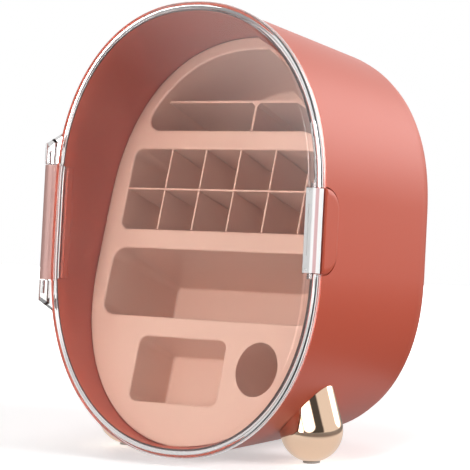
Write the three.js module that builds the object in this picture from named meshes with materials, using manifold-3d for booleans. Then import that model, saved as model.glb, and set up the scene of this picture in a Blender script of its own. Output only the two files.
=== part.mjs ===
// A dustproof makeup organizer: a deep oval shell case that leans back on two ball feet, with a clear
// front lid hinged at the left, a push-button latch at the right and a pocketed tray inside.
// Lengths are millimetres and +Z is up. The pieces are drawn in the frame of the case, whose front rim
// lies in the plane y = 0 with the origin at its centre: x runs to the right, y into the case and z up.

import * as THREE from 'three';
import { mergeVertices } from 'three/addons/utils/BufferGeometryUtils.js';
import Module from 'manifold-3d';

const wasm = await Module();
wasm.setup();

const degree = Math.PI / 180;

// Clearances and cutting
const seatGap = 0.3;
const trayGap = 0.4;
const cutOverrun = 1;
const weldDistance = 0.001;

// Case: the front section, the section that its sides run to at the back, and the rounded back edge
const caseWidth = 246;
const caseHeight = 360;
const caseDepth = 227;
const caseWall = 3;
const frontSideStraight = 56;
const frontPower = 2.16;
const widthFlare = 4;
const heightTaper = 33;
const backSideStraight = 44;
const backPower = 2.45;
const backCornerDepth = 52;
const backCornerInset = 59;
const lipThickness = 2;
const lipDepth = 8;
const tongueHeight = 4.5;

// Lid
const lidDepth = 13;
const lidWall = 3;
const lidOverhang = 2;
const lidCorner = 11;
const lidInsideCorner = 5;
const sealHeight = 1.2;
const sealThickness = 1.8;

// Hinge at the left
const hardwareHeight = 2;
const hingeAxisOutside = 10;
const barrelRadius = 6;
const barrelLength = 95;
const hingePinRadius = 1.5;
const hingePinLength = 118;
const lugLength = 25;
const lugFullLength = 13;
const lugDepth = 11;
const leafThickness = 2.2;
const leafReach = 24;
const backingLength = 92;
const backingWidth = 8;
const backingThickness = 2.6;
const hingeScrewRadius = 1.2;
const hingeScrewHeadRadius = 2.2;
const hingeScrewHeadHeight = 1.4;
const hingeScrewSpacing = 36;
const hingeScrewDepth = 5.2;
const hingeScrewBite = 1.6;

// Latch at the right
const latchLength = 65;
const latchBarWidth = 8.8;
const latchProud = 0.4;
const latchRearGap = 1.3;
const latchLegThickness = 2.6;
const latchPinRadius = 0.9;
const latchPinLength = 73;
const latchPinInset = 4.2;
const latchPinBack = 4.4;
const latchBossRadius = 2.1;
const latchBossLength = 10;
const latchEndGap = 0.6;
const knuckleLength = 4;
const knuckleHeight = 4.6;
const springWire = 0.6;
const springLength = 40;
const armWidth = 24;
const armThickness = 2.1;
const armReach = 12.5;
const toothHeight = 3.5;
const toothTipGap = 0.5;

// Release button beside the latch
const buttonReach = 24;
const buttonLength = 66;
const buttonFrontGap = 0.8;
const buttonCornerReach = 21;
const buttonCornerHeight = 16;
const buttonThickness = 2.6;
const buttonTravel = 1.5;
const buttonRecess = 1.8;
const buttonSideGap = 0.4;
const plungerRadius = 2.4;
const postRadius = 1.8;
const postSpacing = 40;
const clipRadius = 3.6;
const clipThickness = 0.9;
const clipGrooveDepth = 0.6;
const clipGap = 0.15;

// Feet
const footRadius = 25.4;
const footSideInset = 35;
const footSetback = 65;
const footRaise = 25;
const footSplay = 18 * degree;
const footBlankLength = 60;
const footPadRadius = 7;
const footPadHeight = 1.8;
const footPadProud = 0.6;
const footScrewRadius = 2.5;
const footScrewHeadRadius = 4.6;
const footScrewHeadHeight = 3;
const footScrewBite = 16;
const footBossRadius = 8;
const footBossHeight = 9;
const washerRadius = 6.5;
const washerThickness = 1.2;
const rearPadLength = 64;
const rearPadWidth = 14;
const rearPadHeight = 9;
const rearPadThickness = 2.67;

// Tray: its face leans back inside the case, and the pockets stand square to the face
const trayCentreDepth = 63;
const trayTilt = 15 * degree;
const trayFace = 2.4;
const traySkirtDepth = 12;
const trayWall = 2;
const barHeight = 17.1;
const trayFootMargin = 34.6;
const archInset = 11.6;
const archSideMargin = 28;
const archCorner = 9;
const archDepth = 95;
const gridSideMargin = 19;
const gridRowShare = 0.2605;
const gridCorner = 7;
const gridDepth = 62;
const gridDraft = 1;
const endCellExtra = 3.2;
const dividerCount = 5;
const dividerThickness = 1.6;
const dividerSetback = 0.6;
const widePocketSideMargin = 18;
const widePocketRowShare = 0.213;
const widePocketCorner = 11;
const widePocketDepth = 100;
const widePocketDraft = 6.5;
const squarePocketSideMargin = 61;
const squarePocketRowShare = 0.199;
const squarePocketCorner = 7;
const squarePocketDepth = 50;
const squarePocketDraft = 4.5;
const cupSideMargin = 70.3;
const cupRaise = 32.9;
const cupGap = 13.6;
const cupHalfWidth = 18.6;
const cupHalfHeight = 22.2;
const cupDepth = 62;
const cupDraft = 1.5;
const shelfHeight = 30.8;
const shelfThickness = 2;
const shelfSetback = 11;
const shelfGusset = 4;

// Numbers of facets
const ringFacets = 64;
const cornerFacets = 5;
const lidCornerFacets = 3;
const outlineCornerFacets = 3;
const roundFacets = 24;
const smallRoundFacets = 12;

const materials = {
  case: new THREE.MeshStandardMaterial({ color: 0xc4644f, roughness: 0.5, metalness: 0 }),
  tray: new THREE.MeshStandardMaterial({ color: 0xdca893, roughness: 0.45, metalness: 0 }),
  hinge: new THREE.MeshStandardMaterial({ color: 0xd68f83, roughness: 0.35, metalness: 0 }),
  clear: new THREE.MeshStandardMaterial({ color: 0xf2f0ee, roughness: 0.05, metalness: 0, opacity: 0.3,
    transparent: true }),
  seal: new THREE.MeshStandardMaterial({ color: 0x2b1a18, roughness: 0.7, metalness: 0 }),
  gold: new THREE.MeshStandardMaterial({ color: 0xe6b48e, roughness: 0.1, metalness: 1 }),
  steel: new THREE.MeshStandardMaterial({ color: 0xb9babc, roughness: 0.3, metalness: 1 }),
  rubber: new THREE.MeshStandardMaterial({ color: 0x3a3230, roughness: 0.8, metalness: 0 }),
};

// Solids

function facesOut(geometry) {
  const points = geometry.attributes.position;
  const index = geometry.index.array;
  const [a, b, c] = [new THREE.Vector3(), new THREE.Vector3(), new THREE.Vector3()];
  let volume = 0;
  for (let i = 0; i < index.length; i += 3) {
    a.fromBufferAttribute(points, index[i]);
    b.fromBufferAttribute(points, index[i + 1]);
    c.fromBufferAttribute(points, index[i + 2]);
    volume += a.dot(b.cross(c));
  }
  if (volume < 0) geometry.setIndex(Array.from(index).reverse());
  return geometry;
}

// A closed skin over rings of points, all with the same number of points and each one convex
function loft(rings) {
  const count = rings[0].length;
  const last = (rings.length - 1) * count;
  const faces = [];
  for (let start = 0; start < last; start += count) {
    for (let i = 0; i < count; i += 1) {
      const [a, b] = [start + i, start + ((i + 1) % count)];
      faces.push(a, b, b + count, a, b + count, a + count);
    }
  }
  for (let i = 1; i < count - 1; i += 1) {
    faces.push(0, i + 1, i, last, last + i, last + i + 1);
  }
  const geometry = new THREE.BufferGeometry().setFromPoints(rings.flat());
  geometry.setIndex(faces);
  return facesOut(geometry);
}

function solidOf(geometry) {
  const bare = geometry.clone();
  bare.deleteAttribute('normal');
  bare.deleteAttribute('uv');
  const welded = mergeVertices(bare, weldDistance);
  return new wasm.Manifold(new wasm.Mesh({
    numProp: 3,
    vertProperties: Float32Array.from(welded.attributes.position.array),
    triVerts: Uint32Array.from(welded.index.array),
  }));
}

function geometryOf(solid) {
  const mesh = solid.getMesh();
  const geometry = new THREE.BufferGeometry();
  geometry.setAttribute('position', new THREE.BufferAttribute(Float32Array.from(mesh.vertProperties), 3));
  geometry.setIndex(Array.from(mesh.triVerts));
  geometry.computeVertexNormals();
  return geometry;
}

function join(...solids) {
  return solids.reduce((whole, piece) => whole.add(piece));
}

function cut(solid, ...tools) {
  return tools.reduce((rest, tool) => rest.subtract(tool), solid);
}

function block([x0, x1], [y0, y1], [z0, z1]) {
  const geometry = new THREE.BoxGeometry(x1 - x0, y1 - y0, z1 - z0);
  geometry.translate((x0 + x1) / 2, (y0 + y1) / 2, (z0 + z1) / 2);
  return solidOf(geometry);
}

function rod(radius, from, to, facets = smallRoundFacets) {
  const along = new THREE.Vector3().subVectors(to, from);
  const geometry = new THREE.CylinderGeometry(radius, radius, along.length(), facets);
  geometry.applyQuaternion(new THREE.Quaternion().setFromUnitVectors(
    new THREE.Vector3(0, 1, 0), along.clone().normalize()));
  geometry.translate(...new THREE.Vector3().addVectors(from, to).divideScalar(2));
  return solidOf(geometry);
}

function uprightRod(radius, x, y, z0, z1, facets) {
  return rod(radius, new THREE.Vector3(x, y, z0), new THREE.Vector3(x, y, z1), facets);
}

function crossRod(radius, y, z, x0, x1, facets) {
  return rod(radius, new THREE.Vector3(x0, y, z), new THREE.Vector3(x1, y, z), facets);
}

// A flat outline of [x, y] points pushed up from z0 to z1
function columnOf(outline, z0, z1) {
  const shape = new THREE.Shape(outline.map(([x, y]) => new THREE.Vector2(x, y)));
  const geometry = new THREE.ExtrudeGeometry(shape, { depth: z1 - z0, bevelEnabled: false });
  geometry.translate(0, 0, z0);
  return solidOf(geometry);
}

// The case's section: straight sides with a superelliptic end above and below

function sectionAt(depth, inset) {
  const share = depth / caseDepth;
  const cornerStart = caseDepth - backCornerDepth;
  const turn = THREE.MathUtils.clamp((depth - cornerStart) / (backCornerDepth - inset), 0, 1);
  const pull = (backCornerInset - inset) * (1 - Math.sqrt(1 - turn * turn));
  return {
    halfWidth: (caseWidth + widthFlare * share) / 2 - inset - pull,
    halfHeight: (caseHeight - heightTaper * share) / 2 - inset - pull,
    straight: THREE.MathUtils.lerp(frontSideStraight, backSideStraight, share) / 2,
    power: THREE.MathUtils.lerp(frontPower, backPower, share),
  };
}

function ringAt(depth, inset, y = depth) {
  const { halfWidth, halfHeight, straight, power } = sectionAt(depth, inset);
  return Array.from({ length: ringFacets }, (_, i) => {
    const angle = ((i + 0.5) * 2 * Math.PI) / ringFacets;
    const [across, up] = [Math.cos(angle), Math.sin(angle)];
    return new THREE.Vector3(
      halfWidth * Math.sign(across) * Math.abs(across) ** (2 / power), y,
      Math.sign(up) * (straight + (halfHeight - straight) * Math.abs(up) ** (2 / power)));
  });
}

function halfWidthAtHeight(z, inset) {
  const { halfWidth, halfHeight, straight, power } = sectionAt(0, inset);
  const rise = Math.max(0, Math.abs(z) - straight) / (halfHeight - straight);
  return halfWidth * (1 - rise ** power) ** (1 / power);
}

// The case as a filled body, drawn in by an inset on all sides but the front
function caseBody(inset, front = 0) {
  const cornerStart = caseDepth - backCornerDepth;
  const rings = [front, cornerStart / 2, cornerStart].map((depth) => ringAt(depth, inset));
  for (let i = 1; i <= cornerFacets; i += 1) {
    const angle = (i / cornerFacets) * (Math.PI / 2);
    rings.push(ringAt(cornerStart + (backCornerDepth - inset) * Math.sin(angle), inset));
  }
  return solidOf(loft(rings));
}

// A straight collar that follows the front section, from one inset to another
function collar(outerInset, innerInset, y0, y1) {
  const outer = solidOf(loft([ringAt(0, outerInset, y0), ringAt(0, outerInset, y1)]));
  const inner = [y0 - cutOverrun, y1 + cutOverrun].map((y) => ringAt(0, innerInset, y));
  return cut(outer, solidOf(loft(inner)));
}

// Places that several pieces share

const sideX = caseWidth / 2;
const hingeX = -(sideX + hingeAxisOutside);
const latchFrontX = sideX + latchProud - latchBarWidth;
const latchPinX = sideX - latchPinInset;
const latchPinY = -(lidDepth - latchPinBack);
const armInnerX = latchFrontX;
const armOuterX = armInnerX + armThickness;
const toothTipX = sideX - caseWall - toothTipGap;
const toothY = armReach - toothHeight / 2;
const buttonUndersideX = sideX - buttonRecess + buttonTravel;
const buttonCentreY = buttonFrontGap + buttonReach / 2;
const tongueInset = lidWall + trayGap;
const lipInset = caseWall + lipThickness;
const backingTop = hardwareHeight + backingLength / 2;
const backingOuterX = -(halfWidthAtHeight(backingTop, caseWall) - seatGap);

function aroundHardware(length, extra = 0) {
  return [hardwareHeight - length / 2 - extra, hardwareHeight + length / 2 + extra];
}

function hingeScrewHeights() {
  return [-1, 0, 1].map((step) => hardwareHeight + step * hingeScrewSpacing);
}

function postHeights() {
  return [-1, 1].map((step) => hardwareHeight + (step * postSpacing) / 2);
}

function footAxis(side) {
  return new THREE.Vector3(-side * Math.sin(footSplay), 0, Math.cos(footSplay));
}

function footPoint(side, along) {
  const centre = new THREE.Vector3(side * (caseWidth / 2 - footSideInset), footSetback,
    footRaise - caseHeight / 2);
  return centre.addScaledVector(footAxis(side), along);
}

// The case leans back until the underside's rear end stands on the rear pad while the feet stand level
const rearDepth = caseDepth - backCornerDepth;
const rearUnderside = new THREE.Vector3(0, rearDepth, -sectionAt(rearDepth, 0).halfHeight);
const footCentre = footPoint(1, 0);
const [supportRise, supportRun] = [footCentre.z - rearUnderside.z, rearDepth - footSetback];
const leanBack = Math.asin((footRadius + footPadProud - rearPadThickness)
  / Math.hypot(supportRise, supportRun)) - Math.atan2(supportRise, supportRun);

// The height of a point of the case frame once the case leans back
function leanedHeight(point) {
  return point.z * Math.cos(leanBack) - point.y * Math.sin(leanBack);
}

const floorHeight = leanedHeight(footCentre) - footRadius - footPadProud;

// Turns a geometry drawn upright on the floor under a case point into the case frame
function standUnder(geometry, point) {
  const depth = point.y * Math.cos(leanBack) + point.z * Math.sin(leanBack);
  geometry.translate(point.x, depth, floorHeight);
  geometry.rotateX(leanBack);
  return solidOf(geometry);
}

function uprightDisc(radius, height) {
  return new THREE.CylinderGeometry(radius, radius, height, roundFacets).rotateX(Math.PI / 2)
    .translate(0, 0, height / 2);
}

// How far up the foot's axis its seat on the case lies, found on the case's outer section
function footSeatAlong() {
  const { halfWidth, halfHeight, straight, power } = sectionAt(footSetback, 0);
  const outside = (point) => (Math.abs(point.x) / halfWidth) ** power
    + (Math.max(0, Math.abs(point.z) - straight) / (halfHeight - straight)) ** power > 1;
  let [low, high] = [-footRadius, footBlankLength];
  while (high - low > weldDistance) {
    const middle = (low + high) / 2;
    if (outside(footPoint(1, middle))) low = middle;
    else high = middle;
  }
  return high;
}

const footSeat = footSeatAlong();
const bossTop = footSeat + caseWall + footBossHeight;

// The button's outline, straight at the front and round behind, grown by a margin
function buttonOutline(margin) {
  const [low, high] = aroundHardware(buttonLength, margin);
  const front = buttonFrontGap - margin;
  const reach = buttonCornerReach + margin;
  const rise = buttonCornerHeight + margin;
  const back = buttonFrontGap + buttonReach + margin;
  const outline = [[front, low]];
  for (const [centreUp, from] of [[low + rise, -Math.PI / 2], [high - rise, 0]]) {
    for (let i = 0; i <= cornerFacets; i += 1) {
      const angle = from + (i / cornerFacets) * (Math.PI / 2);
      outline.push([back - reach + reach * Math.cos(angle), centreUp + rise * Math.sin(angle)]);
    }
  }
  outline.push([front, high]);
  return outline;
}

function buttonPlate(margin, x0, x1) {
  const ring = (x) => buttonOutline(margin).map(([y, z]) => new THREE.Vector3(x, y, z));
  return solidOf(loft([ring(x0), ring(x1)]));
}

// Case pieces

function outerCase() {
  const shell = cut(caseBody(0), caseBody(caseWall, -cutOverrun));
  const lip = collar(caseWall / 2, lipInset, 0, lipDepth);
  const tongue = collar(tongueInset, lipInset, -tongueHeight, cutOverrun);
  const rim = cut(join(lip, tongue), hingeRimNotch(), latchRimNotch());
  const bosses = [-1, 1].map((side) => footBoss(side));
  const holes = [-1, 1].map((side) => rod(
    footScrewRadius + seatGap, footPoint(side, 0), footPoint(side, bossTop + cutOverrun)));
  return cut(join(shell, rim, ...bosses), ...holes, ...hingeScrewHoles(), ...buttonOpenings());
}

function hingeRimNotch() {
  const wallFace = -(sideX - caseWall);
  const inside = backingOuterX + backingThickness + cutOverrun;
  return block([wallFace, inside], [-tongueHeight - cutOverrun, lipDepth + cutOverrun],
    aroundHardware(backingLength, seatGap));
}

function latchRimNotch() {
  return block([armInnerX, sideX - caseWall], [-tongueHeight - cutOverrun, lipDepth + cutOverrun],
    aroundHardware(armWidth, cutOverrun));
}

function footBoss(side) {
  const boss = rod(footBossRadius, footPoint(side, footSeat - footBossHeight),
    footPoint(side, bossTop), roundFacets);
  return boss.intersect(caseBody(caseWall / 2));
}

function hingeScrewHoles() {
  return hingeScrewHeights().map((z) => crossRod(hingeScrewRadius + seatGap, hingeScrewDepth, z,
    -(sideX + cutOverrun), -(sideX - caseWall - cutOverrun)));
}

function buttonOpenings() {
  const [inside, outside] = [sideX - caseWall - cutOverrun, sideX + cutOverrun];
  const recess = buttonPlate(buttonSideGap, sideX - buttonRecess, outside);
  const plunger = crossRod(plungerRadius + seatGap, toothY, hardwareHeight, inside, outside);
  const posts = postHeights().map((z) => crossRod(postRadius + seatGap, buttonCentreY, z,
    inside, outside));
  return [recess, plunger, ...posts];
}

function releaseButton() {
  const plate = buttonPlate(0, buttonUndersideX, buttonUndersideX + buttonThickness);
  const plunger = crossRod(plungerRadius, toothY, hardwareHeight, toothTipX + seatGap,
    buttonUndersideX + cutOverrun);
  const postEnd = sideX - caseWall - seatGap - clipThickness * 2;
  const posts = postHeights().map((z) => crossRod(postRadius, buttonCentreY, z, postEnd,
    buttonUndersideX + cutOverrun));
  const grooves = postHeights().map((z) => clipRing(z, postRadius * 2, 0));
  return cut(join(plate, plunger, ...posts), ...grooves);
}

// A clip round a post inside the wall, and with no gap the groove that it sits in
function clipRing(z, radius, gap) {
  const x1 = sideX - caseWall - seatGap - gap;
  const x0 = x1 - clipThickness + gap * 2;
  const bore = postRadius - clipGrooveDepth + gap;
  return cut(crossRod(radius, buttonCentreY, z, x0, x1),
    crossRod(bore, buttonCentreY, z, x0 - cutOverrun, x1 + cutOverrun));
}

function buttonClip(z) {
  return clipRing(z, clipRadius, clipGap);
}

function foot(side) {
  const profile = Array.from({ length: smallRoundFacets / 2 + 1 }, (_, i) => {
    const angle = (i / (smallRoundFacets / 2)) * (Math.PI / 2);
    return new THREE.Vector2(footRadius * Math.sin(angle), -footRadius * Math.cos(angle));
  });
  profile.push(new THREE.Vector2(footRadius, footBlankLength), new THREE.Vector2(0, footBlankLength));
  profile[0].x = 0;
  const blank = new THREE.LatheGeometry(profile, roundFacets).rotateX(Math.PI / 2);
  blank.rotateY(-side * footSplay).translate(...footPoint(side, 0));
  const screwHole = rod(footScrewRadius + seatGap, footPoint(side, footSeat - footScrewBite - seatGap),
    footPoint(side, bossTop));
  return cut(solidOf(blank), caseBody(-seatGap, -cutOverrun), screwHole, footPadRecess(side));
}

function footPadRecess(side) {
  const recess = uprightDisc(footPadRadius + seatGap, footPadHeight + seatGap + cutOverrun);
  return standUnder(recess.translate(0, 0, -cutOverrun), footPoint(side, 0));
}

function footPad(side) {
  return standUnder(uprightDisc(footPadRadius, footPadHeight), footPoint(side, 0));
}

function footScrew(side) {
  const seat = bossTop + seatGap * 2 + washerThickness;
  const shank = rod(footScrewRadius, footPoint(side, footSeat - footScrewBite),
    footPoint(side, seat + seatGap));
  return join(shank, rod(footScrewHeadRadius, footPoint(side, seat),
    footPoint(side, seat + footScrewHeadHeight)));
}

function footWasher(side) {
  const [low, high] = [bossTop + seatGap, bossTop + seatGap + washerThickness];
  const disc = rod(washerRadius, footPoint(side, low), footPoint(side, high));
  return cut(disc, rod(footScrewRadius + seatGap, footPoint(side, low - cutOverrun),
    footPoint(side, high + cutOverrun)));
}

function rearPad() {
  const half = (rearPadLength - rearPadWidth) / 2;
  const shape = new THREE.Shape();
  shape.absarc(half, 0, rearPadWidth / 2, -Math.PI / 2, Math.PI / 2, false);
  shape.absarc(-half, 0, rearPadWidth / 2, Math.PI / 2, (3 * Math.PI) / 2, false);
  const blank = new THREE.ExtrudeGeometry(shape, { depth: rearPadHeight, bevelEnabled: false,
    curveSegments: cornerFacets });
  return cut(standUnder(blank, rearUnderside), caseBody(-seatGap, -cutOverrun));
}

// Hinge pieces

function hingeBracket() {
  const [low, high] = aroundHardware(barrelLength);
  const barrel = uprightRod(barrelRadius, hingeX, 0, low, high, roundFacets);
  const leafInner = -(sideX + seatGap);
  const leafOuter = leafInner - leafThickness;
  const leaf = columnOf([
    [hingeX, seatGap * 2], [leafInner, seatGap * 2], [leafInner, leafReach], [leafOuter, leafReach],
    [leafOuter, barrelRadius * 2], [hingeX, barrelRadius],
  ], low, high);
  const screws = hingeScrewHeights().map((z) => crossRod(hingeScrewRadius + seatGap, hingeScrewDepth, z,
    leafOuter - barrelRadius, leafInner + cutOverrun));
  const headWells = hingeScrewHeights().map((z) => crossRod(hingeScrewHeadRadius + seatGap,
    hingeScrewDepth, z, hingeX - barrelRadius, leafOuter + seatGap));
  return cut(join(barrel, leaf), hingePinHole(), ...screws, ...headWells);
}

function hingePinHole() {
  const [low, high] = aroundHardware(hingePinLength, seatGap);
  return uprightRod(hingePinRadius + seatGap, hingeX, 0, low, high);
}

function hingePin() {
  const [low, high] = aroundHardware(hingePinLength);
  return uprightRod(hingePinRadius, hingeX, 0, low, high);
}

function hingeBackingPlate() {
  const plate = block([backingOuterX, backingOuterX + backingThickness],
    [seatGap, seatGap + backingWidth], aroundHardware(backingLength));
  const holes = hingeScrewHeights().map((z) => crossRod(hingeScrewRadius + seatGap, hingeScrewDepth, z,
    backingOuterX - cutOverrun, backingOuterX + hingeScrewBite + seatGap));
  return cut(plate, ...holes);
}

function hingeScrew(z) {
  const seat = -(sideX + seatGap + leafThickness);
  const shank = crossRod(hingeScrewRadius, hingeScrewDepth, z, seat - hingeScrewHeadHeight / 2,
    backingOuterX + hingeScrewBite);
  return join(shank, crossRod(hingeScrewHeadRadius, hingeScrewDepth, z,
    seat - hingeScrewHeadHeight, seat));
}

// Lid pieces

function lidSkin(inset, corner, rear, front) {
  const rings = [ringAt(0, inset, rear)];
  for (let i = 0; i <= lidCornerFacets; i += 1) {
    const angle = (i / lidCornerFacets) * (Math.PI / 2);
    rings.push(ringAt(0, inset + corner * (1 - Math.cos(angle)), front + corner * (1 - Math.sin(angle))));
  }
  return solidOf(loft(rings));
}

function lidCover() {
  const outer = lidSkin(-lidOverhang, lidCorner, -seatGap, -lidDepth);
  const inner = lidSkin(lidWall, lidInsideCorner, cutOverrun, -lidDepth + lidWall);
  const shell = cut(join(outer, lidLug(1), lidLug(-1)), inner, latchNotch());
  return cut(join(shell, knuckle(1), knuckle(-1)), hingePinHole(), latchPinHole());
}

// A lug beyond one end of the barrel: full height next to it, then sloping in to the skirt
function lidLug(end) {
  const start = barrelLength / 2 + seatGap * 2;
  const at = (length) => hardwareHeight + end * length;
  const [low, high] = [at(start), at(start + lugLength)].sort((a, b) => a - b);
  const outerX = hingeX - barrelRadius;
  const rootX = -(halfWidthAtHeight(at(start + lugLength), 0) - lidWall / 2);
  const eye = uprightRod(barrelRadius, hingeX, 0, low, high, roundFacets);
  const web = block([hingeX, rootX], [-lugDepth, -seatGap * 2], [low, high]);
  const face = new THREE.Shape([[outerX, start], [rootX, start], [rootX, start + lugLength],
    [outerX, start + lugFullLength]].map(([x, along]) => new THREE.Vector2(x, at(along))));
  const blank = new THREE.ExtrudeGeometry(face, { depth: lugDepth * 2, bevelEnabled: false });
  blank.rotateX(Math.PI / 2).translate(0, lugDepth, 0);
  return join(eye, web).intersect(solidOf(blank));
}

function latchNotch() {
  return block([latchFrontX - seatGap, sideX + lidOverhang + cutOverrun],
    [-lidDepth - cutOverrun, cutOverrun], aroundHardware(latchLength, latchEndGap));
}

function knuckle(end) {
  const start = latchLength / 2 + latchEndGap;
  const [low, high] = [start, start + knuckleLength].map((along) => hardwareHeight + end * along)
    .sort((a, b) => a - b);
  return block([latchPinX - latchBossRadius, sideX - lidWall / 2],
    [-(lidDepth - lidWall / 2), -(lidDepth - lidWall / 2) + knuckleHeight], [low, high]);
}

function latchPinHole() {
  const [low, high] = aroundHardware(latchPinLength, seatGap);
  return uprightRod(latchPinRadius + seatGap, latchPinX, latchPinY, low, high);
}

function dustSeal() {
  const inset = lidWall + trayGap;
  const rear = -tongueHeight - seatGap;
  return collar(inset, inset + sealThickness, rear - sealHeight, rear);
}

function latchLever() {
  const [low, high] = aroundHardware(latchLength);
  const front = -lidDepth - latchProud;
  const outerX = sideX + latchProud;
  const rear = -latchRearGap;
  const bevel = lidWall;
  const bar = columnOf([
    [latchFrontX, front], [outerX - bevel, front], [outerX, front + bevel], [outerX, rear],
    [outerX - latchLegThickness, rear], [outerX - latchLegThickness, front + lidWall],
    [latchFrontX, front + lidWall],
  ], low, high);
  const armEnds = aroundHardware(armWidth);
  const arm = block([armInnerX, armOuterX], [front + lidWall / 2, armReach], armEnds);
  const tooth = block([armInnerX, toothTipX], [armReach - toothHeight, armReach], armEnds);
  const bosses = [[low, low + latchBossLength], [high - latchBossLength, high]].map(([z0, z1]) => join(
    uprightRod(latchBossRadius, latchPinX, latchPinY, z0, z1),
    block([latchPinX - latchBossRadius, latchPinX + latchBossRadius],
      [front + lidWall / 2, latchPinY], [z0, z1])));
  return cut(join(bar, arm, tooth, ...bosses), latchPinHole());
}

function latchPin() {
  const [low, high] = aroundHardware(latchPinLength);
  return uprightRod(latchPinRadius, latchPinX, latchPinY, low, high);
}

// The torsion spring's outer form round the pin
function latchSpring() {
  const [low, high] = aroundHardware(springLength);
  const bore = latchPinRadius + seatGap;
  return cut(uprightRod(bore + springWire, latchPinX, latchPinY, low, high),
    uprightRod(bore, latchPinX, latchPinY, low - cutOverrun, high + cutOverrun));
}

// Tray pieces, drawn in the frame of the tray's face: x across, y into the tray and z up the face

function onTray(geometry) {
  return solidOf(geometry.rotateX(-trayTilt).translate(0, trayCentreDepth, 0));
}

function traySlab([y0, y1], [z0, z1] = [-caseHeight, caseHeight], [x0, x1] = [-caseWidth, caseWidth]) {
  const geometry = new THREE.BoxGeometry(x1 - x0, y1 - y0, z1 - z0);
  return onTray(geometry.translate((x0 + x1) / 2, (y0 + y1) / 2, (z0 + z1) / 2));
}

function roundedRing({ left, right, bottom, top, corner }, grow, y) {
  const radius = corner + grow;
  const centres = [[right - corner, bottom + corner, -1], [right - corner, top - corner, 0],
    [left + corner, top - corner, 1], [left + corner, bottom + corner, 2]];
  return centres.flatMap(([x, z, quarter]) => Array.from({ length: outlineCornerFacets + 1 }, (_, i) => {
    const angle = (quarter + i / outlineCornerFacets) * (Math.PI / 2);
    return new THREE.Vector3(x + radius * Math.cos(angle), y, z + radius * Math.sin(angle));
  }));
}

// A pocket's volume grown by a wall, from the face to its floor, narrowing by its draft
function pocketVolume(pocket, grow, from, to) {
  const drawnIn = (y) => grow - (pocket.draft * y) / pocket.depth;
  return onTray(loft([from, to].map((y) => roundedRing(pocket, drawnIn(y), y))));
}

const rowsHeight = caseHeight - trayFootMargin - 3 * barHeight;
const squarePocketBottom = trayFootMargin - caseHeight / 2;
const squarePocketTop = squarePocketBottom + squarePocketRowShare * rowsHeight;
const widePocketBottom = squarePocketTop + barHeight;
const widePocketTop = widePocketBottom + widePocketRowShare * rowsHeight;
const gridBottom = widePocketTop + barHeight;
const gridTop = gridBottom + gridRowShare * rowsHeight;
const archFloor = gridTop + barHeight;
const shelfTop = archFloor + shelfHeight;
const archHalfWidth = sideX - archSideMargin;
const gridHalfWidth = sideX - gridSideMargin;
const widePocketHalfWidth = sideX - widePocketSideMargin;
const dividerPitch = (2 * (gridHalfWidth - endCellExtra)) / (dividerCount + 1);
const cupCentreX = sideX - cupSideMargin;
const cupCentreUp = squarePocketBottom + cupRaise;

const pockets = {
  grid: { left: -gridHalfWidth, right: gridHalfWidth, bottom: gridBottom, top: gridTop,
    corner: gridCorner, depth: gridDepth, draft: gridDraft },
  wide: { left: -widePocketHalfWidth, right: widePocketHalfWidth, bottom: widePocketBottom,
    top: widePocketTop, corner: widePocketCorner, depth: widePocketDepth, draft: widePocketDraft },
  square: { left: squarePocketSideMargin - sideX, right: cupCentreX - cupHalfWidth - cupGap,
    bottom: squarePocketBottom, top: squarePocketTop, corner: squarePocketCorner,
    depth: squarePocketDepth, draft: squarePocketDraft },
};

function cupVolume(grow, from, to) {
  const ring = (y) => Array.from({ length: roundFacets }, (_, i) => {
    const angle = (i * 2 * Math.PI) / roundFacets;
    const margin = grow - (cupDraft * y) / cupDepth;
    return new THREE.Vector3(cupCentreX + (cupHalfWidth + margin) * Math.cos(angle), y,
      cupCentreUp + (cupHalfHeight + margin) * Math.sin(angle));
  });
  return onTray(loft([ring(from), ring(to)]));
}

// The arched compartment: flat floor with round corners, and a top that follows the case
function archVolume(grow, from, to) {
  const outline = { left: -archHalfWidth, right: archHalfWidth, bottom: archFloor, top: caseHeight,
    corner: archCorner };
  const front = onTray(loft([from, to].map((y) => roundedRing(outline, grow, y))));
  return front.intersect(caseBody(caseWall + archInset - grow, -cutOverrun));
}

// The tray's face and the skirt behind its edge, with an opening for each tub
function organizerTray() {
  const seated = caseBody(caseWall + trayGap, -cutOverrun);
  const plate = traySlab([0, trayFace]).intersect(seated);
  const skirt = cut(traySlab([0, traySkirtDepth]).intersect(seated),
    caseBody(caseWall + trayGap + trayWall, -cutOverrun));
  const grow = trayWall + seatGap;
  const openings = Object.values(pockets).map((pocket) => pocketVolume(
    pocket, grow, -cutOverrun, pocket.depth + grow));
  return cut(join(plate, skirt), ...openings, cupVolume(grow, -cutOverrun, cupDepth + grow),
    archVolume(grow, -cutOverrun, archDepth + grow));
}

function pocketTub(pocket) {
  return cut(pocketVolume(pocket, trayWall, 0, pocket.depth + trayWall),
    pocketVolume(pocket, 0, -cutOverrun, pocket.depth));
}

function cupTub() {
  return cut(cupVolume(trayWall, 0, cupDepth + trayWall), cupVolume(0, -cutOverrun, cupDepth));
}

function archTub() {
  return cut(archVolume(trayWall, 0, archDepth + trayWall), archVolume(0, -cutOverrun, archDepth));
}

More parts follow.
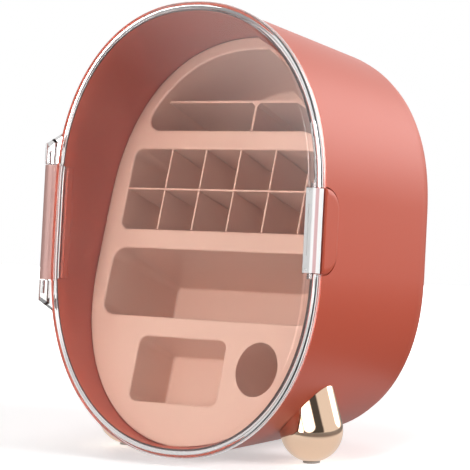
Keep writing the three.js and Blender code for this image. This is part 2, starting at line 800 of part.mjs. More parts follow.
function shelfInsert() {
  const room = archVolume(-seatGap, shelfSetback, archDepth - seatGap);
  const plate = traySlab([shelfSetback, archDepth], [shelfTop - shelfThickness, shelfTop]);
  const half = shelfThickness / 2;
  const divider = traySlab([shelfSetback, archDepth], [archFloor, shelfTop - half], [-half, half]);
  const gusset = [[half, 0], [half + shelfGusset, 0], [half, -shelfGusset]];
  const outline = [...gusset.slice(1), [-half, -shelfGusset], [-half - shelfGusset, 0]];
  const ring = (y) => outline.map(([x, z]) => new THREE.Vector3(x, y, shelfTop - half + z));
  const fillets = onTray(loft([ring(shelfSetback), ring(archDepth)]));
  return join(plate, divider, fillets).intersect(room);
}

const crossHeight = (gridTop + gridBottom) / 2;
const lapDepth = (gridDepth + dividerSetback) / 2;

function gridRoom() {
  return pocketVolume(pockets.grid, -seatGap, dividerSetback, gridDepth - seatGap);
}

function dividerX(number) {
  return (number - (dividerCount + 1) / 2) * dividerPitch;
}

function around(centre, thickness) {
  return [centre - thickness / 2, centre + thickness / 2];
}

function gridDivider(number) {
  const plate = traySlab([0, gridDepth], [gridBottom, gridTop],
    around(dividerX(number), dividerThickness));
  const slot = traySlab([-cutOverrun, lapDepth + seatGap / 2],
    around(crossHeight, dividerThickness + seatGap * 2));
  return cut(plate.intersect(gridRoom()), slot);
}

function gridCrossDivider() {
  const plate = traySlab([0, gridDepth], around(crossHeight, dividerThickness));
  const slots = Array.from({ length: dividerCount }, (_, i) => traySlab(
    [lapDepth - seatGap / 2, gridDepth + cutOverrun], [gridBottom, gridTop],
    around(dividerX(i + 1), dividerThickness + seatGap * 2)));
  return cut(plate.intersect(gridRoom()), ...slots);
}

// The assembly

const pieces = [
  ['outer_case', outerCase(), materials.case],
  ['organizer_tray', organizerTray(), materials.tray],
  ['arch_tub', archTub(), materials.tray],
  ['lipstick_tub', pocketTub(pockets.grid), materials.tray],
  ['wide_tub', pocketTub(pockets.wide), materials.tray],
  ['square_tub', pocketTub(pockets.square), materials.tray],
  ['cup_tub', cupTub(), materials.tray],
  ['shelf_insert', shelfInsert(), materials.tray],
  ['grid_cross_divider', gridCrossDivider(), materials.tray],
  ['hinge_bracket', hingeBracket(), materials.hinge],
  ['hinge_backing_plate', hingeBackingPlate(), materials.hinge],
  ['hinge_pin', hingePin(), materials.steel],
  ['lid_cover', lidCover(), materials.clear],
  ['dust_seal', dustSeal(), materials.seal],
  ['latch_lever', latchLever(), materials.clear],
  ['latch_pin', latchPin(), materials.steel],
  ['latch_spring', latchSpring(), materials.steel],
  ['release_button', releaseButton(), materials.case],
  ['rear_pad', rearPad(), materials.rubber],
];

for (let number = 1; number <= dividerCount; number += 1) {
  pieces.push([`grid_divider_${number}`, gridDivider(number), materials.tray]);
}

hingeScrewHeights().forEach((z, i) => {
  pieces.push([`hinge_screw_${i + 1}`, hingeScrew(z), materials.steel]);
});

postHeights().forEach((z, i) => {
  pieces.push([`button_clip_${i + 1}`, buttonClip(z), materials.steel]);
});

for (const [side, word] of [[-1, 'left'], [1, 'right']]) {
  pieces.push([`foot_${word}`, foot(side), materials.gold]);
  pieces.push([`foot_pad_${word}`, footPad(side), materials.rubber]);
  pieces.push([`foot_screw_${word}`, footScrew(side), materials.steel]);
  pieces.push([`foot_washer_${word}`, footWasher(side), materials.steel]);
}

const leaning = new THREE.Group();
leaning.rotation.x = -leanBack;
for (const [name, solid, material] of pieces) {
  const mesh = new THREE.Mesh(geometryOf(solid), material);
  mesh.name = name;
  leaning.add(mesh);
}

// The origin is the middle of the whole object's footprint, on the surface it stands on
const organizer = new THREE.Group();
organizer.name = 'makeup_organizer';
organizer.add(leaning);
organizer.updateMatrixWorld(true);
const bounds = new THREE.Box3().setFromObject(organizer, true);
const middle = bounds.getCenter(new THREE.Vector3());
leaning.position.set(-middle.x, -middle.y, -bounds.min.z);
organizer.updateMatrixWorld(true);

export default organizer;
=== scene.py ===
"""Looks for the dustproof makeup organizer: an oval case that leans back, with a clear lid and a tray.

The pieces are drawn in the frame of the case, whose front rim lies in the plane y = 0: x runs to the right, y
into the case and z up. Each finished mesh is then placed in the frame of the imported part. Lengths are metres.
"""

import logging
import math
from dataclasses import dataclass
from enum import Enum
from typing import Callable, Sequence

import bmesh
import bpy
from mathutils import Matrix, Vector


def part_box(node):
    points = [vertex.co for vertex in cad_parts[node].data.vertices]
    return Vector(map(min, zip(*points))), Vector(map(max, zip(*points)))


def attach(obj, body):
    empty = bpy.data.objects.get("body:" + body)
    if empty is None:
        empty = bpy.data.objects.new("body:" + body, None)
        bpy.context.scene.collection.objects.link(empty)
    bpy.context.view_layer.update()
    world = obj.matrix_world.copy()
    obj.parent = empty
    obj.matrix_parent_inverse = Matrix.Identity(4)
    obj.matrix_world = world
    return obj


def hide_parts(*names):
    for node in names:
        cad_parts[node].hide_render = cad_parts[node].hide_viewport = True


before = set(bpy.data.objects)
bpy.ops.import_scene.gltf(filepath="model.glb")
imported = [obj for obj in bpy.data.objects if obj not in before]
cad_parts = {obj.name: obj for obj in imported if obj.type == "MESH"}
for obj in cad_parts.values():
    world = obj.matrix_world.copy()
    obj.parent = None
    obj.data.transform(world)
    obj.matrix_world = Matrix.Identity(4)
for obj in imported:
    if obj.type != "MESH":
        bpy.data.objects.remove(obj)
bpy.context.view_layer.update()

MM = 0.001
HOLE_SEGMENTS = 32
SMALL_HOLE_SEGMENTS = 24
# Points closer than this are one: in a CAD node, in a spun profile and in a cut piece
NODE_WELD = 0.003 * MM
SPUN_WELD = 0.005 * MM
CUT_WELD = 0.01 * MM
# The sharpest edge that looks smooth: on a drawn piece, on a faceted one and on a thin round one
CREASE = math.radians(32)
FACET_CREASE = math.radians(40)
ROUND_CREASE = math.radians(60)
FLAT_ANGLE = math.radians(1)
FLAT_WEIGHT = 80
FULL_TURN = 2 * math.pi

log = logging.getLogger("organizer")
Ring = list[Vector]
Span = tuple[float, float]
Colour = tuple[float, float, float]
Solid = bpy.types.Object
Socket = bpy.types.NodeSocket


class Body(Enum):
    """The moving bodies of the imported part."""

    CASE = "case"
    LID = "lid"
    LATCH = "latch"
    BUTTON = "button"


class Slot(Enum):
    """The record's material slots."""

    CASE = "case_shell"
    TRAY = "tray"
    CLEAR = "clear"
    SEAL = "seal"
    HINGE = "hinge_moulding"
    GOLD = "rose_gold"
    STEEL = "steel"
    RUBBER = "rubber"


class Look(Enum):
    """Finishes of single pieces that differ from the others of their slot: the lever's frosted plastic with
    painted glow and pink, and the hinge strip's pink darkened as painted shade.
    """

    FROSTED = "frosted lever"
    STRIP = "hinge strip"


def quarter(steps: int) -> list[float]:
    """The angles from 0 to 90 degrees in equal steps."""
    return [i / steps * math.pi / 2 for i in range(steps + 1)]


# Places and sections


@dataclass(frozen=True)
class CaseFrame:
    """Where the case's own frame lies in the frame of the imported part."""

    lean: float = math.radians(5.798)
    hinge_x: float = -133 * MM
    hardware_height: float = 2 * MM

    def matrix(self) -> Matrix:
        """Finds the case's frame from its lean and the middle of the hinge pin.

        Returns:
            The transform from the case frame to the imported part.
        """
        low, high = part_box("hinge_pin")
        turn = Matrix.Rotation(-self.lean, 4, "X")
        pin = Vector((self.hinge_x, 0, self.hardware_height))
        return Matrix.Translation((low + high) / 2 - turn @ pin) @ turn

    def around(self, length: float, extra: float = 0) -> Span:
        """The lowest and highest place of something of that length, centred on the hinge and latch."""
        half = length / 2 + extra
        return self.hardware_height - half, self.hardware_height + half


@dataclass(frozen=True)
class CaseSection:
    """The case's section: straight sides with superelliptic ends, drawn in round the back."""

    front_width: float = 246 * MM
    front_height: float = 360 * MM
    back_width: float = 250 * MM
    back_height: float = 327 * MM
    depth: float = 226.6 * MM
    front_straight: float = 56 * MM
    back_straight: float = 44 * MM
    front_power: float = 2.16
    back_power: float = 2.45
    corner_depth: float = 52 * MM
    corner_inset: float = 59 * MM
    points: int = 176

    @property
    def half(self) -> float:
        """Half the front's width."""
        return self.front_width / 2

    @property
    def corner_start(self) -> float:
        """The depth at which the back edge starts to round."""
        return self.depth - self.corner_depth

    def sizes(self, depth: float, inset: float) -> tuple[float, float, float, float]:
        """Args:
            depth: How far behind the rim.
            inset: How far inside the outer surface.

        Returns:
            Half width, half height, half of the straight side, and the superellipse's power.
        """
        share = depth / self.depth
        turn = min(max((depth - self.corner_start) / (self.corner_depth - inset), 0), 1)
        pull = (self.corner_inset - inset) * (1 - math.sqrt(1 - turn * turn))
        width = self.front_width + (self.back_width - self.front_width) * share
        height = self.front_height + (self.back_height - self.front_height) * share
        straight = self.front_straight + (self.back_straight - self.front_straight) * share
        power = self.front_power + (self.back_power - self.front_power) * share
        return width / 2 - inset - pull, height / 2 - inset - pull, straight / 2, power

    def ring(self, depth: float, inset: float, y: float | None = None) -> Ring:
        """Args:
            depth: The depth whose section is drawn.
            inset: How far inside the outer surface.
            y: Where the ring lies, if not at that depth.

        Returns:
            The section's points.
        """
        half_width, half_height, straight, power = self.sizes(depth, inset)
        ring = []
        for i in range(self.points):
            angle = (i + 0.5) * FULL_TURN / self.points
            across, up = math.cos(angle), math.sin(angle)
            x = half_width * math.copysign(abs(across) ** (2 / power), across)
            rise = (half_height - straight) * abs(up) ** (2 / power)
            ring.append(Vector((x, depth if y is None else y, math.copysign(straight + rise, up))))
        return ring

    def holds(self, point: Vector, inset: float) -> bool:
        """Args:
            point: A place in the case frame.
            inset: How far inside the outer surface the section lies.

        Returns:
            Whether the point lies inside the section at its depth.
        """
        half_width, half_height, straight, power = self.sizes(point.y, inset)
        rise = max(0, abs(point.z) - straight) / (half_height - straight)
        return (abs(point.x) / half_width) ** power + rise**power < 1

    def half_width_at(self, z: float) -> float:
        """Args:
            z: A height.

        Returns:
            The half width of the front section at that height.
        """
        half_width, half_height, straight, power = self.sizes(0, 0)
        rise = max(0, abs(z) - straight) / (half_height - straight)
        return half_width * (1 - rise**power) ** (1 / power)

    def back_depths(self, inset: float, steps: int) -> list[float]:
        """The depths of the rings that round the back edge, from its start to the back."""
        return [self.corner_start + (self.corner_depth - inset) * math.sin(angle) for angle in quarter(steps)]


# Meshes


class Mould:
    """A mesh under work."""

    def __init__(self, sound: bool = False) -> None:
        """Args:
            sound: Whether its faces will point outwards by themselves, as a CAD node's do.
        """
        self.bm = bmesh.new()
        self.sound = sound

    @classmethod
    def of_node(cls, node: str) -> "Mould":
        """Args:
            node: A CAD node.

        Returns:
            A mould that holds a copy of the node, with its loose triangles joined.
        """
        mould = cls(sound=True)
        mould.bm.from_mesh(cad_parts[node].data)
        bmesh.ops.remove_doubles(mould.bm, verts=mould.bm.verts[:], dist=NODE_WELD)
        return mould

    def loop(self, points: Sequence[Vector]) -> list[bmesh.types.BMEdge]:
        """The edges of a closed outline through the points, each with its earlier corner first."""
        verts = [self.bm.verts.new(p) for p in points]
        return [self.bm.edges.new((a, b)) for a, b in zip(verts, verts[1:] + verts[:1])]

    def skin(self, rings: Sequence[Sequence[Vector]], front: bool = True, back: bool = True,
             closed: bool = False) -> tuple[list[bmesh.types.BMEdge], list[bmesh.types.BMEdge]]:
        """Draws the first ring and extrudes it to each of the next ones.

        Args:
            rings: The rings, each with as many points as the others.
            front: Whether the first ring is filled.
            back: Whether the last ring is filled.
            closed: Whether the skin ends at its first ring.

        Returns:
            The edges of the first and of the last ring.
        """
        first = self.loop(rings[0])
        edges, verts = first, [edge.verts[0] for edge in first]
        start = list(verts)
        for ring in list(rings[1:]) + (list(rings[:1]) if closed else []):
            grown = bmesh.ops.extrude_edge_only(self.bm, edges=edges)["geom"]
            fresh = {v for v in grown if isinstance(v, bmesh.types.BMVert)}
            edges = [e for e in grown if isinstance(e, bmesh.types.BMEdge) and fresh.issuperset(e.verts)]
            verts = [next(e.other_vert(v) for e in v.link_edges if e.other_vert(v) in fresh) for v in verts]
            for vert, point in zip(verts, ring):
                vert.co = point
        if closed:
            bmesh.ops.weld_verts(self.bm, targetmap=dict(zip(verts, start)))
        for wanted, ends in ((front, first), (back, edges)):
            if wanted and not closed:
                bmesh.ops.holes_fill(self.bm, edges=ends, sides=0)
        return first, edges

    def box(self, xs: Span, ys: Span, zs: Span) -> "Mould":
        """Args:
            xs: The limits across, in either order.
            ys: The limits in depth.
            zs: The limits up.

        Returns:
            The mould, with the box added.
        """
        spans = [(min(s), max(s)) for s in (xs, ys, zs)]
        centre = Vector([(a + b) / 2 for a, b in spans])
        scale = Matrix.Diagonal([b - a for a, b in spans] + [1])
        bmesh.ops.create_cube(self.bm, size=1, matrix=Matrix.Translation(centre) @ scale)
        return self

    def rod(self, radius: float, start: Vector, end: Vector, segments: int = 48) -> "Mould":
        """Args:
            radius: The rod's radius.
            start: The middle of one end.
            end: The middle of the other end.
            segments: The facets round it.

        Returns:
            The mould, with the closed rod added.
        """
        along = end - start
        turn = along.to_track_quat("Z", "Y").to_matrix().to_4x4()
        bmesh.ops.create_cone(self.bm, cap_ends=True, segments=segments, radius1=radius, radius2=radius,
                              depth=along.length, matrix=Matrix.Translation((start + end) / 2) @ turn)
        return self

    def prism(self, points: Sequence[Vector], push: Vector) -> "Mould":
        """Args:
            points: The corners of a flat outline.
            push: How far and which way it is pushed.

        Returns:
            The mould, with the solid added.
        """
        face = self.bm.faces.new([self.bm.verts.new(p) for p in points])
        moved = bmesh.ops.extrude_face_region(self.bm, geom=[face])["geom"]
        bmesh.ops.translate(self.bm, verts=[v for v in moved if isinstance(v, bmesh.types.BMVert)], vec=push)
        return self

    def lathe(self, profile: Sequence[Vector], centre: Vector, axis: Vector, steps: int = 96) -> "Mould":
        """Args:
            profile: The points of half the section, from the axis to the axis.
            centre: A point of the axis.
            axis: The axis's direction.
            steps: The facets of a full turn.

        Returns:
            The mould, with the profile spun once round the axis.
        """
        verts = [self.bm.verts.new(p) for p in profile]
        edges = [self.bm.edges.new(pair) for pair in zip(verts, verts[1:])]
        bmesh.ops.spin(self.bm, geom=verts + edges, cent=centre, axis=axis, angle=FULL_TURN, steps=steps,
                       use_merge=True)
        bmesh.ops.remove_doubles(self.bm, verts=self.bm.verts[:], dist=SPUN_WELD)
        return self

    def make(self, name: str) -> Solid:
        """Args:
            name: The object's name.

        Returns:
            The finished object, where it was drawn.
        """
        if not self.sound:
            bmesh.ops.recalc_face_normals(self.bm, faces=self.bm.faces[:])
        mesh = bpy.data.meshes.new(name)
        self.bm.to_mesh(mesh)
        self.bm.free()
        obj = bpy.data.objects.new(name, mesh)
        bpy.context.scene.collection.objects.link(obj)
        return obj


class Join(Enum):
    """How two solids are joined."""

    ADD = "UNION"
    CUT = "DIFFERENCE"
    COMMON = "INTERSECT"


def join_solids(obj: Solid, how: Join, *others: Solid) -> Solid:
    """Joins solids to a solid, one after the other, and deletes them.

    Args:
        obj: The solid that is kept and changed.
        how: How each is joined to it.
        others: The solids that are added, cut away or intersected.

    Returns:
        The changed solid.
    """
    for other in others:
        modifier = obj.modifiers.new("join", "BOOLEAN")
        modifier.operation = how.value
        modifier.solver = "EXACT"
        modifier.object = other
        mesh = bpy.data.meshes.new_from_object(obj.evaluated_get(bpy.context.evaluated_depsgraph_get()))
        obj.modifiers.clear()
        spare = [obj.data, other.data]
        obj.data = mesh
        bpy.data.objects.remove(other)
        for old in spare:
            bpy.data.meshes.remove(old)
        mesh.name = obj.name
    return obj


def smooth(obj: Solid, crease: float = CREASE) -> Solid:
    """Shades a mesh smooth but for its sharp edges, and keeps its flats flat.

    Args:
        obj: The object.
        crease: The sharpest edge that is still shaded smooth.

    Returns:
        The object.
    """
    obj.data.shade_smooth()
    obj.data.set_sharp_from_angle(angle=crease)
    weigh = obj.modifiers.new("flat faces", "WEIGHTED_NORMAL")
    weigh.keep_sharp = True
    weigh.weight = FLAT_WEIGHT
    return obj


@dataclass(frozen=True)
class Edges:
    """How a copied node's edges are made round: how wide, with how many facets, and from which angle on."""

    width: float
    segments: int = 2
    above: float = math.radians(40)


@dataclass
class Workshop:
    """Places finished pieces on their bodies and dresses them."""

    place: Matrix
    finishes: dict[Slot | Look, bpy.types.Material]

    def deliver(self, obj: Solid, body: Body, slot: Slot, *nodes: str) -> Solid:
        """Moves a piece from the case frame to its place, and dresses it as dress does."""
        obj.data.transform(self.place)
        return self.dress(obj, body, slot, *nodes)

    def dress(self, obj: Solid, body: Body, slot: Slot, *nodes: str, look: Look | None = None) -> Solid:
        """Gives a piece its body, its finish and the nodes that it stands for.

        Args:
            obj: The finished piece.
            body: The body that it moves with.
            slot: Its material slot.
            nodes: The CAD nodes that it stands for.
            look: Its own finish, where that isn't its slot's.

        Returns:
            The piece.
        """
        obj.data.materials.clear()
        obj.data.materials.append(self.finishes[look or slot])
        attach(obj, body.value)
        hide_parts(*nodes)
        log.info("%s: %d faces on %s", obj.name, len(obj.data.polygons), body.value)
        return obj

    def refine(self, node: str, body: Body, slot: Slot, edges: Edges, look: Look | None = None) -> Solid:
        """Makes a piece from a copy of a CAD node, with its facets joined and its edges made round.

        Args:
            node: The CAD node.
            body: The body that it moves with.
            slot: Its material slot.
            edges: How its edges are made round.
            look: Its own finish, where that isn't its slot's.

        Returns:
            The piece.
        """
        mould = Mould.of_node(node)
        bmesh.ops.dissolve_limit(mould.bm, angle_limit=FLAT_ANGLE, verts=mould.bm.verts[:],
                                 edges=mould.bm.edges[:])
        obj = mould.make(node + "_piece")
        rounder = obj.modifiers.new("round edges", "BEVEL")
        rounder.width, rounder.segments = edges.width, edges.segments
        rounder.limit_method, rounder.angle_limit = "ANGLE", edges.above
        rounder.harden_normals = False
        smooth(obj, FACET_CREASE)
        return self.dress(obj, body, slot, node, look=look)


# Finishes


class Nodes:
    """Adds shader nodes to a material's, world's or group's tree and links them."""

    def __init__(self, tree: bpy.types.NodeTree) -> None:
        """Keeps the tree that the nodes are added to."""
        self.tree = tree

    def add(self, kind: str, **settings: object) -> bpy.types.Node:
        """Args:
            kind: The node's type.
            settings: Attributes of the node, or else values of its inputs.

        Returns:
            The node.
        """
        node = self.tree.nodes.new(kind)
        for name, value in settings.items():
            if hasattr(node, name):
                setattr(node, name, value)
            else:
                node.inputs[name.replace("_", " ")].default_value = value
        return node

    def link(self, source: Socket, target: Socket) -> None:
        """Links two sockets."""
        self.tree.links.new(source, target)

    def combine(self, how: str, one: Socket, other: Socket) -> Socket:
        """Args:
            how: A math node's operation.
            one: The first value.
            other: The second value.

        Returns:
            The two values joined.
        """
        node = self.add("ShaderNodeMath", operation=how)
        self.link(one, node.inputs[0])
        self.link(other, node.inputs[1])
        return node.outputs[0]

    def along(self, vector: Socket, axis: Sequence[float]) -> Socket:
        """Args:
            vector: The vector that is measured.
            axis: The direction that it is measured along.

        Returns:
            Their dot product.
        """
        reach = self.add("ShaderNodeVectorMath", operation="DOT_PRODUCT")
        reach.inputs[1].default_value = axis
        self.link(vector, reach.inputs[0])
        return reach.outputs["Value"]

    def soft_step(self, value: Socket, span: Span, ends: Span = (0, 1)) -> Socket:
        """Args:
            value: The value that is read.
            span: Where the step starts and ends.
            ends: What it gives before and after.

        Returns:
            The soft step.
        """
        step = self.add("ShaderNodeMapRange", interpolation_type="SMOOTHSTEP", From_Min=span[0],
                        From_Max=span[1], To_Min=ends[0], To_Max=ends[1])
        self.link(value, step.inputs["Value"])
        return step.outputs["Result"]


def grain_group(bump_depth: float = 0.2 * MM) -> bpy.types.NodeTree:
    """Args:
        bump_depth: How deep the grain's bumps are at a depth of 1.

    Returns:
        The fine grain of a moulded or polished surface, as a value and as a normal.
    """
    tree = bpy.data.node_groups.new("moulded grain", "ShaderNodeTree")
    for name, way, kind in (("Grain Scale", "INPUT", "Float"), ("Depth", "INPUT", "Float"),
                            ("Grain", "OUTPUT", "Float"), ("Normal", "OUTPUT", "Vector")):
        tree.interface.new_socket(name, in_out=way, socket_type="NodeSocket" + kind)
    nodes = Nodes(tree)
    given = nodes.add("NodeGroupInput")
    out = nodes.add("NodeGroupOutput")
    place = nodes.add("ShaderNodeTexCoord")
    fine = nodes.add("ShaderNodeTexNoise", Detail=3.0, Roughness=0.6)
    bump = nodes.add("ShaderNodeBump", Distance=bump_depth)
    nodes.link(place.outputs["Object"], fine.inputs["Vector"])
    nodes.link(given.outputs["Grain Scale"], fine.inputs["Scale"])
    nodes.link(given.outputs["Depth"], bump.inputs["Strength"])
    nodes.link(fine.outputs["Fac"], bump.inputs["Height"])
    nodes.link(fine.outputs["Fac"], out.inputs["Grain"])
    nodes.link(bump.outputs["Normal"], out.inputs["Normal"])
    return tree


@dataclass(frozen=True)
class Grain:
    """A surface's fine grain: its scale, its depth, and the roughness that it spreads between."""

    scale: float
    depth: float
    roughness: Span

    def apply(self, nodes: Nodes, shader: bpy.types.Node, group: bpy.types.NodeTree) -> Socket:
        """Args:
            nodes: The material's nodes.
            shader: Its Principled BSDF, which gets its roughness and its normal from the grain.
            group: The group of moulded grain.

        Returns:
            The grain's value.
        """
        texture = nodes.add("ShaderNodeGroup", node_tree=group, Grain_Scale=self.scale, Depth=self.depth)
        low, high = self.roughness
        spread = nodes.add("ShaderNodeMapRange", To_Min=low, To_Max=high)
        nodes.link(texture.outputs["Grain"], spread.inputs["Value"])
        nodes.link(spread.outputs["Result"], shader.inputs["Roughness"])
        if self.depth:
            nodes.link(texture.outputs["Normal"], shader.inputs["Normal"])
        return texture.outputs["Grain"]


def new_material(name: str, **settings: object) -> tuple[bpy.types.Material, Nodes, bpy.types.Node]:
    """Args:
        name: The material's name.
        settings: Values of its Principled BSDF's inputs.

    Returns:
        The material, its nodes and its Principled BSDF.
    """
    material = bpy.data.materials.new(name)
    material.use_nodes = True
    material.node_tree.nodes.clear()
    nodes = Nodes(material.node_tree)
    shader = nodes.add("ShaderNodeBsdfPrincipled", **settings)
    nodes.link(shader.outputs["BSDF"], nodes.add("ShaderNodeOutputMaterial").inputs["Surface"])
    return material, nodes, shader


@dataclass(frozen=True)
class MouldedPlastic:
    """Coloured plastic with a fine moulded grain that shows in its colour."""

    name: str
    colour: Colour
    grain_colour: Colour
    grain: Grain

    def build(self, group: bpy.types.NodeTree) -> bpy.types.Material:
        """Args:
            group: The group of moulded grain.

        Returns:
            The material.
        """
        material, nodes, shader = new_material(self.name)
        tint = nodes.add("ShaderNodeMix", data_type="RGBA", A=(*self.colour, 1), B=(*self.grain_colour, 1))
        nodes.link(self.grain.apply(nodes, shader, group), tint.inputs["Factor"])
        nodes.link(tint.outputs["Result"], shader.inputs["Base Color"])
        return material


@dataclass(frozen=True)
class ClearPlastic:
    """Clear polished plastic with a faint haze, which lets light through to what lies behind it."""

    name: str = "clear plastic"
    tint: Colour = (0.985, 0.975, 0.97)
    index: float = 1.49
    haze: Grain = Grain(40, 0, (0, 0.024))

    def build(self, group: bpy.types.NodeTree) -> bpy.types.Material:
        """Args:
            group: The group of moulded grain.

        Returns:
            The material.
        """
        material, nodes, shader = new_material(self.name, Base_Color=(*self.tint, 1), Transmission_Weight=1,
                                               IOR=self.index)
        self.haze.apply(nodes, shader, group)
        ray = nodes.add("ShaderNodeLightPath")
        through = nodes.add("ShaderNodeBsdfTransparent", Color=(*self.tint, 1))
        mix = nodes.add("ShaderNodeMixShader")
        surface = shader.outputs["BSDF"].links[0].to_socket
        nodes.link(ray.outputs["Is Shadow Ray"], mix.inputs["Fac"])
        nodes.link(shader.outputs["BSDF"], mix.inputs[1])
        nodes.link(through.outputs["BSDF"], mix.inputs[2])
        nodes.link(mix.outputs["Shader"], surface)
        return material


@dataclass(frozen=True)
class FrostedPlasticWithPaintedLight:
    """Milky plastic with a faint painted glow, and a painted pink outside a slanting plane through the lever
    that stands in for the case seen through it.
    """

    place: Matrix
    name: str = "frosted plastic with painted glow and pink"
    tint: Colour = (0.95, 0.94, 0.935)
    painted_case_pink: Colour = (0.66, 0.36, 0.37)
    bevel_side: tuple[float, float, float] = (1, -0.4, 0)
    bevel_place: Span = (126.6 * MM, 127.0 * MM)
    index: float = 1.49
    clear_share: float = 0.1
    painted_glow: float = 0.12
    grain: Grain = Grain(900, 0, (0.126, 0.234))

    def build(self, group: bpy.types.NodeTree) -> bpy.types.Material:
        """Args:
            group: The group of moulded grain.

        Returns:
            The material.
        """
        # The faint emission is painted glow: it brightens the lever as if it were lit.
        material, nodes, shader = new_material(self.name, Transmission_Weight=self.clear_share,
                                               IOR=self.index, Emission_Color=(*self.tint, 1),
                                               Emission_Strength=self.painted_glow)
        self.grain.apply(nodes, shader, group)
        # The pink mixed in past the slanting plane is painted: it stands in for the case seen through the
        # lever's chamfer.
        inverse = self.place.inverted()
        place = nodes.add("ShaderNodeTexCoord")
        case = nodes.add("ShaderNodeMapping", Location=inverse.translation, Rotation=inverse.to_euler())
        tint = nodes.add("ShaderNodeMix", data_type="RGBA", A=(*self.tint, 1), B=(*self.painted_case_pink, 1))
        nodes.link(place.outputs["Object"], case.inputs["Vector"])
        outwards = nodes.along(case.outputs["Vector"], self.bevel_side)
        nodes.link(nodes.soft_step(outwards, self.bevel_place), tint.inputs["Factor"])
        nodes.link(tint.outputs["Result"], shader.inputs["Base Color"])
        return material


@dataclass(frozen=True)
class PlainMetal:
    """Metal with a fine unevenness in its polish."""

    name: str
    colour: Colour
    grain: Grain

    def build(self, group: bpy.types.NodeTree) -> bpy.types.Material:
        """Args:
            group: The group of moulded grain.

        Returns:
            The material.
        """
        material, nodes, shader = new_material(self.name, Base_Color=(*self.colour, 1), Metallic=1)
        self.grain.apply(nodes, shader, group)
        return material


def all_finishes(place: Matrix) -> dict[Slot | Look, bpy.types.Material]:
    """Args:
        place: Where the case's frame lies.

    Returns:
        The material of each slot and of each piece with a look of its own.
    """
    group = grain_group()
    kinds = {
        Slot.CASE: MouldedPlastic("terracotta plastic", (0.51, 0.080, 0.039), (0.545, 0.088, 0.044),
                                  Grain(800, 0.3, (0.36, 0.48))),
        Slot.TRAY: MouldedPlastic("pale pink plastic", (0.71, 0.44, 0.335), (0.74, 0.46, 0.355),
                                  Grain(1600, 0.04, (0.24, 0.36))),
        Slot.CLEAR: ClearPlastic(),
        Slot.SEAL: MouldedPlastic("dark seal", (0.035, 0.012, 0.010), (0.05, 0.016, 0.013),
                                  Grain(1600, 0.08, (0.44, 0.56))),
        Slot.HINGE: MouldedPlastic("dusty pink plastic", (0.88, 0.52, 0.47), (0.90, 0.54, 0.49),
                                   Grain(1600, 0.02, (0.19, 0.31))),
        Slot.GOLD: PlainMetal("rose gold plating", (0.95, 0.69, 0.505), Grain(300, 0.01, (0.036, 0.084))),
        Slot.STEEL: PlainMetal("plain steel", (0.60, 0.60, 0.61), Grain(300, 0.01, (0.168, 0.392))),
        Slot.RUBBER: MouldedPlastic("grey rubber", (0.50, 0.45, 0.42), (0.53, 0.48, 0.45),
                                    Grain(1600, 0.2, (0.64, 0.76))),
        Look.FROSTED: FrostedPlasticWithPaintedLight(place),
        # The hinge strip is the hinge's pink moulding, coloured darker as painted shade on its front face.
        Look.STRIP: MouldedPlastic("hinge pink darkened as painted shade", (0.50, 0.085, 0.048), (0.53, 0.095, 0.054),
                                   Grain(1600, 0.02, (0.18, 0.30))),
    }
    return {slot: kind.build(group) for slot, kind in kinds.items()}


# The case, with its feet and the rim's hardware


@dataclass
class CaseShell:
    """The deep shell, open at the front, with its inner lip and the tongue that the lid closes over."""

    section: CaseSection
    wall: float = 3 * MM
    edge: float = 0.5 * MM
    lip_inset: float = 5 * MM
    lip_depth: float = 8 * MM
    tongue_inset: float = 3.4 * MM
    tongue_height: float = 4.5 * MM
    seat_gap: float = 0.3 * MM
    overrun: float = 1 * MM
    steps: int = 12

    @property
    def lip_span(self) -> Span:
        """The depths that a notch through the lip and the tongue spans."""
        return -self.tongue_height - self.overrun, self.lip_depth + self.overrun

    def body(self, inset: float, front: float = 0) -> Solid:
        """Args:
            inset: How far it is drawn in.
            front: The depth at which it is cut flat.

        Returns:
            The case as a filled body.
        """
        mould = Mould()
        depths = [front, self.section.corner_start / 2] + self.section.back_depths(inset, self.steps)
        mould.skin([self.section.ring(depth, inset) for depth in depths])
        return mould.make("case body")

    def profile(self) -> list[Ring]:
        """Draws the shell's section.

        Returns:
            Its rings, from the middle of the back outside, over the rim, to the back inside.
        """
        ring, start = self.section.ring, self.section.corner_start
        outside = [ring(depth, 0) for depth in reversed(self.section.back_depths(0, self.steps))]
        outside += [ring(depth, 0) for depth in (start / 2, start / 8, self.edge)]
        edge, tongue, lip, top = self.edge, self.tongue_inset, self.lip_inset, -self.tongue_height
        soft = edge / 3
        over = [(soft, soft), (edge, 0), (tongue, 0), (tongue, top + edge), (tongue + soft, top + soft),
                (tongue + edge, top), (lip - edge, top), (lip - soft, top + soft), (lip, top + edge),
                (lip, self.lip_depth - edge), (lip - edge, self.lip_depth), (self.wall, self.lip_depth)]
        rim = [ring(0, inset, y) for inset, y in over]
        inside = [ring(depth, self.wall) for depth in (start / 4, start / 2)]
        inside += [ring(depth, self.wall) for depth in self.section.back_depths(self.wall, self.steps)]
        return outside + rim + inside

    def build(self, shop: Workshop, hinge: "HingeSide", latch: "LatchSide", feet: "Feet") -> None:
        """Builds the shell and makes room in it for what is fastened to it.

        Args:
            shop: Where it is dressed.
            hinge: The hinge, with its notch and screws.
            latch: The latch, with its notch and button.
            feet: The feet, with their bosses and screws.
        """
        mould = Mould()
        mould.skin(self.profile())
        shell = mould.make("case_shell_piece")
        for side in feet.sides.values():
            boss = join_solids(feet.boss(side), Join.COMMON, self.body(self.wall / 2))
            join_solids(shell, Join.ADD, boss)
            join_solids(shell, Join.CUT, feet.screw_way(side))
        join_solids(shell, Join.CUT, *hinge.cutters(self), *latch.cutters(self))
        shop.deliver(smooth(shell), Body.CASE, Slot.CASE, "outer_case")


